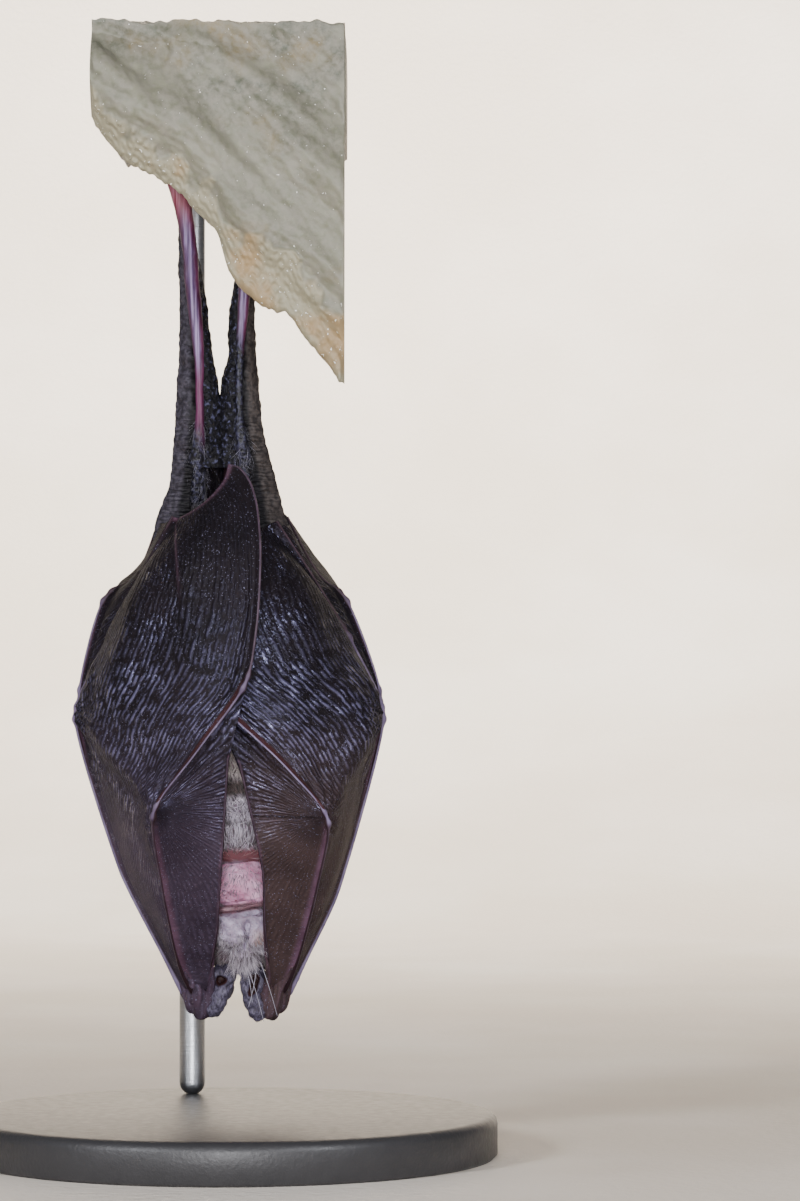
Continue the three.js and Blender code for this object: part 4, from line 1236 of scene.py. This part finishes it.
tufts("coat", skin, 60000, body_coat, 1)


# The fuzz of the muzzle and chin: fine pale hairs of the coat's own kind that hang over the
# bare plate, longest at its lower edge.
def face_fuzz(root, normal):
    x, y, z = root.T
    low = smooth(-z, -19.2, -17.2)
    left = smooth(-x, -0.2, 0.9) * smooth(-z, -20.2, -19.4)
    chin = 0.22 * smooth(z, 20.9, 22.4)
    way = unit(np.stack([0.25 * (x - 1.0), 0 * x - 0.1, 0 * x - 1], axis=1))
    kept = np.clip(low * 0.95 + left * 0.6 + chin, 0, 1) * smooth(-y, -1.2, -0.4)
    return kept, way, 0.9 + 1.1 * smooth(-z, -17.8, -16.2), 0.032 + 0 * z


tufts("face_fuzz", face, 12000, face_fuzz, 4)


# The hairs of the thighs and shins: long, single and white-grey, few enough to show the dark
# skin between them.
def leg_hair(root, normal):
    x, y, z = root.T
    kept = smooth(-z, -61.5, -58.5) * smooth(z, 51.5, 53) * smooth(-y, -2.4, -1.0) * 0.35
    way = np.stack([0.9 * np.sin(z * 2.3 + 3 * x), 0 * x - 0.4, 0 * x - 1], axis=1)
    return kept, way, 1.5 + 0 * z, 0.01 + 0 * z


def white_hair(at):
    tone = at.attribute("dice")
    return {"Base Color": tone.tint((70, 68, 82), (170, 166, 180)), "Roughness": 0.5}


WHITE_HAIR = material("white_hair", white_hair)
tufts("thigh_hair", skin, 9000, leg_hair, 5, WHITE_HAIR)
for side in SIDES:
    tufts(f"leg_{side}_hair", bpy.data.objects[f"leg_{side}_bare"].data, 2600, leg_hair, 6, WHITE_HAIR)


# The fuzz of the ears: very short blue-grey hairs over the front of each cup, so that their
# outline looks soft.
def ear_fuzz(root, normal):
    x, y, z = root.T
    way = np.stack([0.3 * (x - 0.9), 0 * x, 0 * x - 1], axis=1)
    return smooth(-y, -2.6, -1.6) * 0.9, way, 0.38 + 0 * z, 0.013 + 0 * z


def ear_hair(at):
    tone = at.attribute("dice")
    return {"Base Color": tone.tint((50, 47, 62), (112, 108, 130)), "Roughness": 0.5}


EAR_HAIR = material("ear_hair", ear_hair)
for side in SIDES:
    tufts(f"ear_{side}_fuzz", bpy.data.objects[f"ear_{side}_cup"].data, 1800, ear_fuzz, 7, EAR_HAIR)


# The feelers: four long, stiff white hairs, each a thin rod rooted in the crown, that hang
# past the right wrist and ear.
for number, (x, z, end_x, end_z) in enumerate(((1.6, 15.4, 2.85, 11.0), (2.6, 15.9, 3.95, 11.5),
                                               (1.5, 15.2, 1.9, 12.6), (2.3, 15.6, 1.6, 12.2))):
    bend = curve_through([(x, -0.6, z), ((x + end_x) / 2 + 0.08, -0.9, (z + end_z) / 2),
                          (end_x, -0.2, end_z)])
    mesh = tube_mesh(f"long_hair_{number + 1}", bend, lambda t: 0.022 - 0.006 * t, around=8, steps=40)
    store(mesh, dice=np.full(len(mesh.vertices), 0.9))
    fitted(mesh, WHITE_HAIR, "coat")


# The perch: a cut piece of weathered limestone ledge, rippled and pitted outside, sawn flat
# at its two ends. The toes hook behind its hanging lip.
def limestone(at):
    broad = at.noise(75, 4).between(0.35, 0.65)
    stain = at.noise(170, 3).between(0.52, 0.68)
    light = at.scaled(1, 1, 1.4).noise(240, 3).between(0.5, 0.72)
    grain = at.noise(1500, 4, 0.7)
    rim = at.attribute("rim")
    # Near-white specks, denser along the rim: white crystal grains, painted brighter as glints.
    white_grains_and_glints = (at.noise(3400, 1) + rim * 0.05).between(0.74, 0.8)
    base = stain.tint(broad.tint((76, 80, 66), (114, 114, 94)), (118, 104, 72))
    base = light.tint(base, (130, 129, 110))
    edge = stain.tint((140, 134, 112), (146, 124, 90))
    body = rim.tint(grain.between(0.25, 0.75).tint(base, (126, 122, 110)), edge)
    return {"Base Color": white_grains_and_glints.tint(body, (238, 236, 226)),
            "Roughness": grain * 0.4 + 0.28, "Specular IOR Level": 0.4,
            "Normal": (grain * 0.8 + white_grains_and_glints * 0.5).bump(0.00011)}


ROCK_LEFT, ROCK_RIGHT, ROCK_TOP = -11, 9.5, 92.4
LIP = [(ROCK_LEFT, 84.8), (-9.6, 82.9), (-7.8, 81.1), (-5.1, 79.6), (-3.9, 79.0), (-2.8, 77.5),
       (-1.1, 75.9), (-0.4, 74.0), (0.5, 72.1), (2.1, 70.4), (3.2, 69.6), (4.9, 69.2),
       (6.0, 67.4), (7.7, 65.5), (ROCK_RIGHT, 63.0)]


def swell(x, z):
    """How far the ledge's front swells out, in flutes that run down to the right across it."""
    across, along = 0.68 * x + 0.73 * z, 0.73 * x - 0.68 * z
    return 0.45 * np.sin(0.9 * across + 0.6 * np.sin(0.35 * along))


def rock_mesh():
    """The rock's skin. Its `over` is how high above the hanging lip a place lies, in mm."""
    rows, face, rest = 200, 210, 200
    lip_line = curve_through([(x, 0, z) for x, z in LIP])(np.linspace(0, 1, 400))
    x = ROCK_LEFT + (ROCK_RIGHT - ROCK_LEFT) * np.linspace(0, 1, rows)
    lip = np.interp(x, lip_line[:, 0], lip_line[:, 2])
    lip = lip + 0.1 * hills(np.stack([x, 0 * x, 0 * x], axis=-1), 0.9, 35)
    ripple = 0.5 * np.sin(1.3 * x) + 0.3 * np.sin(2.9 * x + 1)
    ceiling = np.maximum(83.55, lip + 1.0)

    def uneven(back):
        """How far the top departs from flat along a line `back` mm behind its front edge."""
        across = np.stack([x, 0 * x + back, 0 * x], axis=-1)
        return 0.35 * hills(across, 4.5, 37) + 0.12 * hills(across, 1.3, 38)

    top = ROCK_TOP + uneven(0)
    even = np.ones(rows)
    rise = np.linspace(0, 1, face)[:, None]
    z = lip * (1 - rise) + top * rise
    y = 0.7 * rise - 4.9 - 1.9 * np.sin(math.pi * np.minimum(1.15 * rise, 1)) \
        - swell(x, z) * (1 - smooth(rise, 0.85, 1))
    behind = np.array([
        (-4.2 * even, top), (0.0 * even, 92.6 + uneven(4)), (4.0 * even, 92.7 + uneven(8)),
        (8.0 * even, 92.6 + uneven(12)), (12 * even, 92.1 + uneven(16)),
        (16 * even, 91.4 + uneven(20)), (19 * even, 90.0 + uneven(23)),
        (19 + 0.4 * ripple, ceiling * 0.65 + top * 0.35),
        (17.5 * even, ceiling - 0.4), (11 * even, ceiling - 0.2), (5.5 * even, ceiling),
        (1.0 * even, ceiling), (-1.8 * even, ceiling - 0.5), (-2.9 * even, lip * 0.55 + ceiling * 0.45),
        (-3.6 * even, lip + 0.3), (y[0], z[0])])
    turn = np.linspace(0, len(behind) - 1, rest)[1:]
    low = np.minimum(turn.astype(int), len(behind) - 2)
    part = (turn - low)[:, None, None]
    yz = behind[low] * (1 - part) + behind[low + 1] * part
    yz = np.concatenate([np.stack([y, z], axis=1), yz]).transpose(2, 0, 1)
    places = np.stack([np.broadcast_to(x[:, None], yz.shape[:2]), yz[..., 0], yz[..., 1]], axis=-1)
    mesh = grid_mesh("perch_limestone", places)
    store(mesh, over=places[..., 2] - lip[:, None])
    return mesh


rock = welded(rock_mesh())
work = bmesh.new()
work.from_mesh(rock)
bmesh.ops.holes_fill(work, edges=[e for e in work.edges if e.is_boundary])
bmesh.ops.recalc_face_normals(work, faces=work.faces)
work.to_mesh(rock)
work.free()
places, normal = spots(rock)
x, y, z = places.T
over = stored(rock, "over")
inside = smooth(x, ROCK_LEFT, ROCK_LEFT + 0.4) * smooth(-x, -ROCK_RIGHT, 0.4 - ROCK_RIGHT)
front = smooth(-y, 2.5, 3.8)
flow = np.stack([0.68 * x + 0.73 * z, y, 0.3 * (0.73 * x - 0.68 * z)], axis=-1)
band = 1 - smooth(over + 0.6 * hills(places, 2.5, 36) + 0.25 * hills(places, 0.8, 39)
                  - 2.6 * smooth(x, -1.5, 2.5), 1.6, 2.6)
relief = 0.3 * band + 0.07 * band * hills(places, 0.55, 34) \
    + 0.2 * hills(flow, 3.0, 31) + 0.06 * hills(flow, 1.4, 32) + 0.03 * hills(places, 0.7, 33) \
    - 0.16 * hump(over - 2.9, 0.8) + 0.08 * hump(over - 1.0, 0.9)
in_front = 1 - smooth(y, -3, 0)
relief = relief * (0.3 + 0.7 * np.maximum(front, 1 - in_front)) \
    * (1 - 0.8 * smooth(z, 91.0, 92.5) * in_front)
moved(rock, places + normal * (relief * inside)[:, None] * (0.2, 1, 1))
store(rock, rim=band * front)
ready(linked("perch_limestone", rock, material("limestone", limestone)), "limestone", "perch_rock")


# The display stand: a dark painted metal disc with a rounded rim, and a brushed steel rod on
# it that runs up behind the animal into the back of the rock.
def painted(at):
    return {"Base Color": at.noise(300, 3).tint((40, 40, 42), (50, 49, 51)),
            "Roughness": at.noise(1200, 3) * 0.2 + 0.35,
            "Normal": at.noise(3000, 2).bump(0.00003)}


def steel(at):
    brushed = at.scaled(1, 1, 30).noise(500, 3)
    return {"Base Color": brushed.tint((160, 162, 166), (196, 198, 202)), "Metallic": 1.0,
            "Roughness": brushed * 0.2 + 0.22, "Normal": brushed.bump(0.00002)}


profile = [(0, 0), (21.7, 0), (22, 0.3), (22, 2.7), (21.9, 3.1), (21.6, 3.4), (21.2, 3.5), (0, 3.5)]
work = bmesh.new()
points = [work.verts.new((x * MM, 0, z * MM)) for x, z in profile]
edges = [work.edges.new(pair) for pair in zip(points, points[1:])]
bmesh.ops.spin(work, geom=points + edges, cent=(0, 0, 0), axis=(0, 0, 1), angle=2 * math.pi,
               steps=128, use_merge=True)
bmesh.ops.remove_doubles(work, verts=work.verts, dist=1e-7)
bmesh.ops.recalc_face_normals(work, faces=work.faces)
disc = bpy.data.meshes.new("stand_disc")
work.to_mesh(disc)
work.free()
disc.shade_smooth()
fitted(disc, material("painted_metal", painted), "painted_base", "stand_base")
ROD_X, ROD_Y, ROD_RADIUS = -3.7, 16, 1.1
upright = curve_through([(ROD_X, ROD_Y, z) for z in (3.4, 40, 84)])
rod = tube_mesh("stand_steel_rod", upright, lambda t: ROD_RADIUS + 0 * t, around=40, steps=80)
fitted(rod, material("brushed_steel", steel), "steel_rod", "stand_rod")
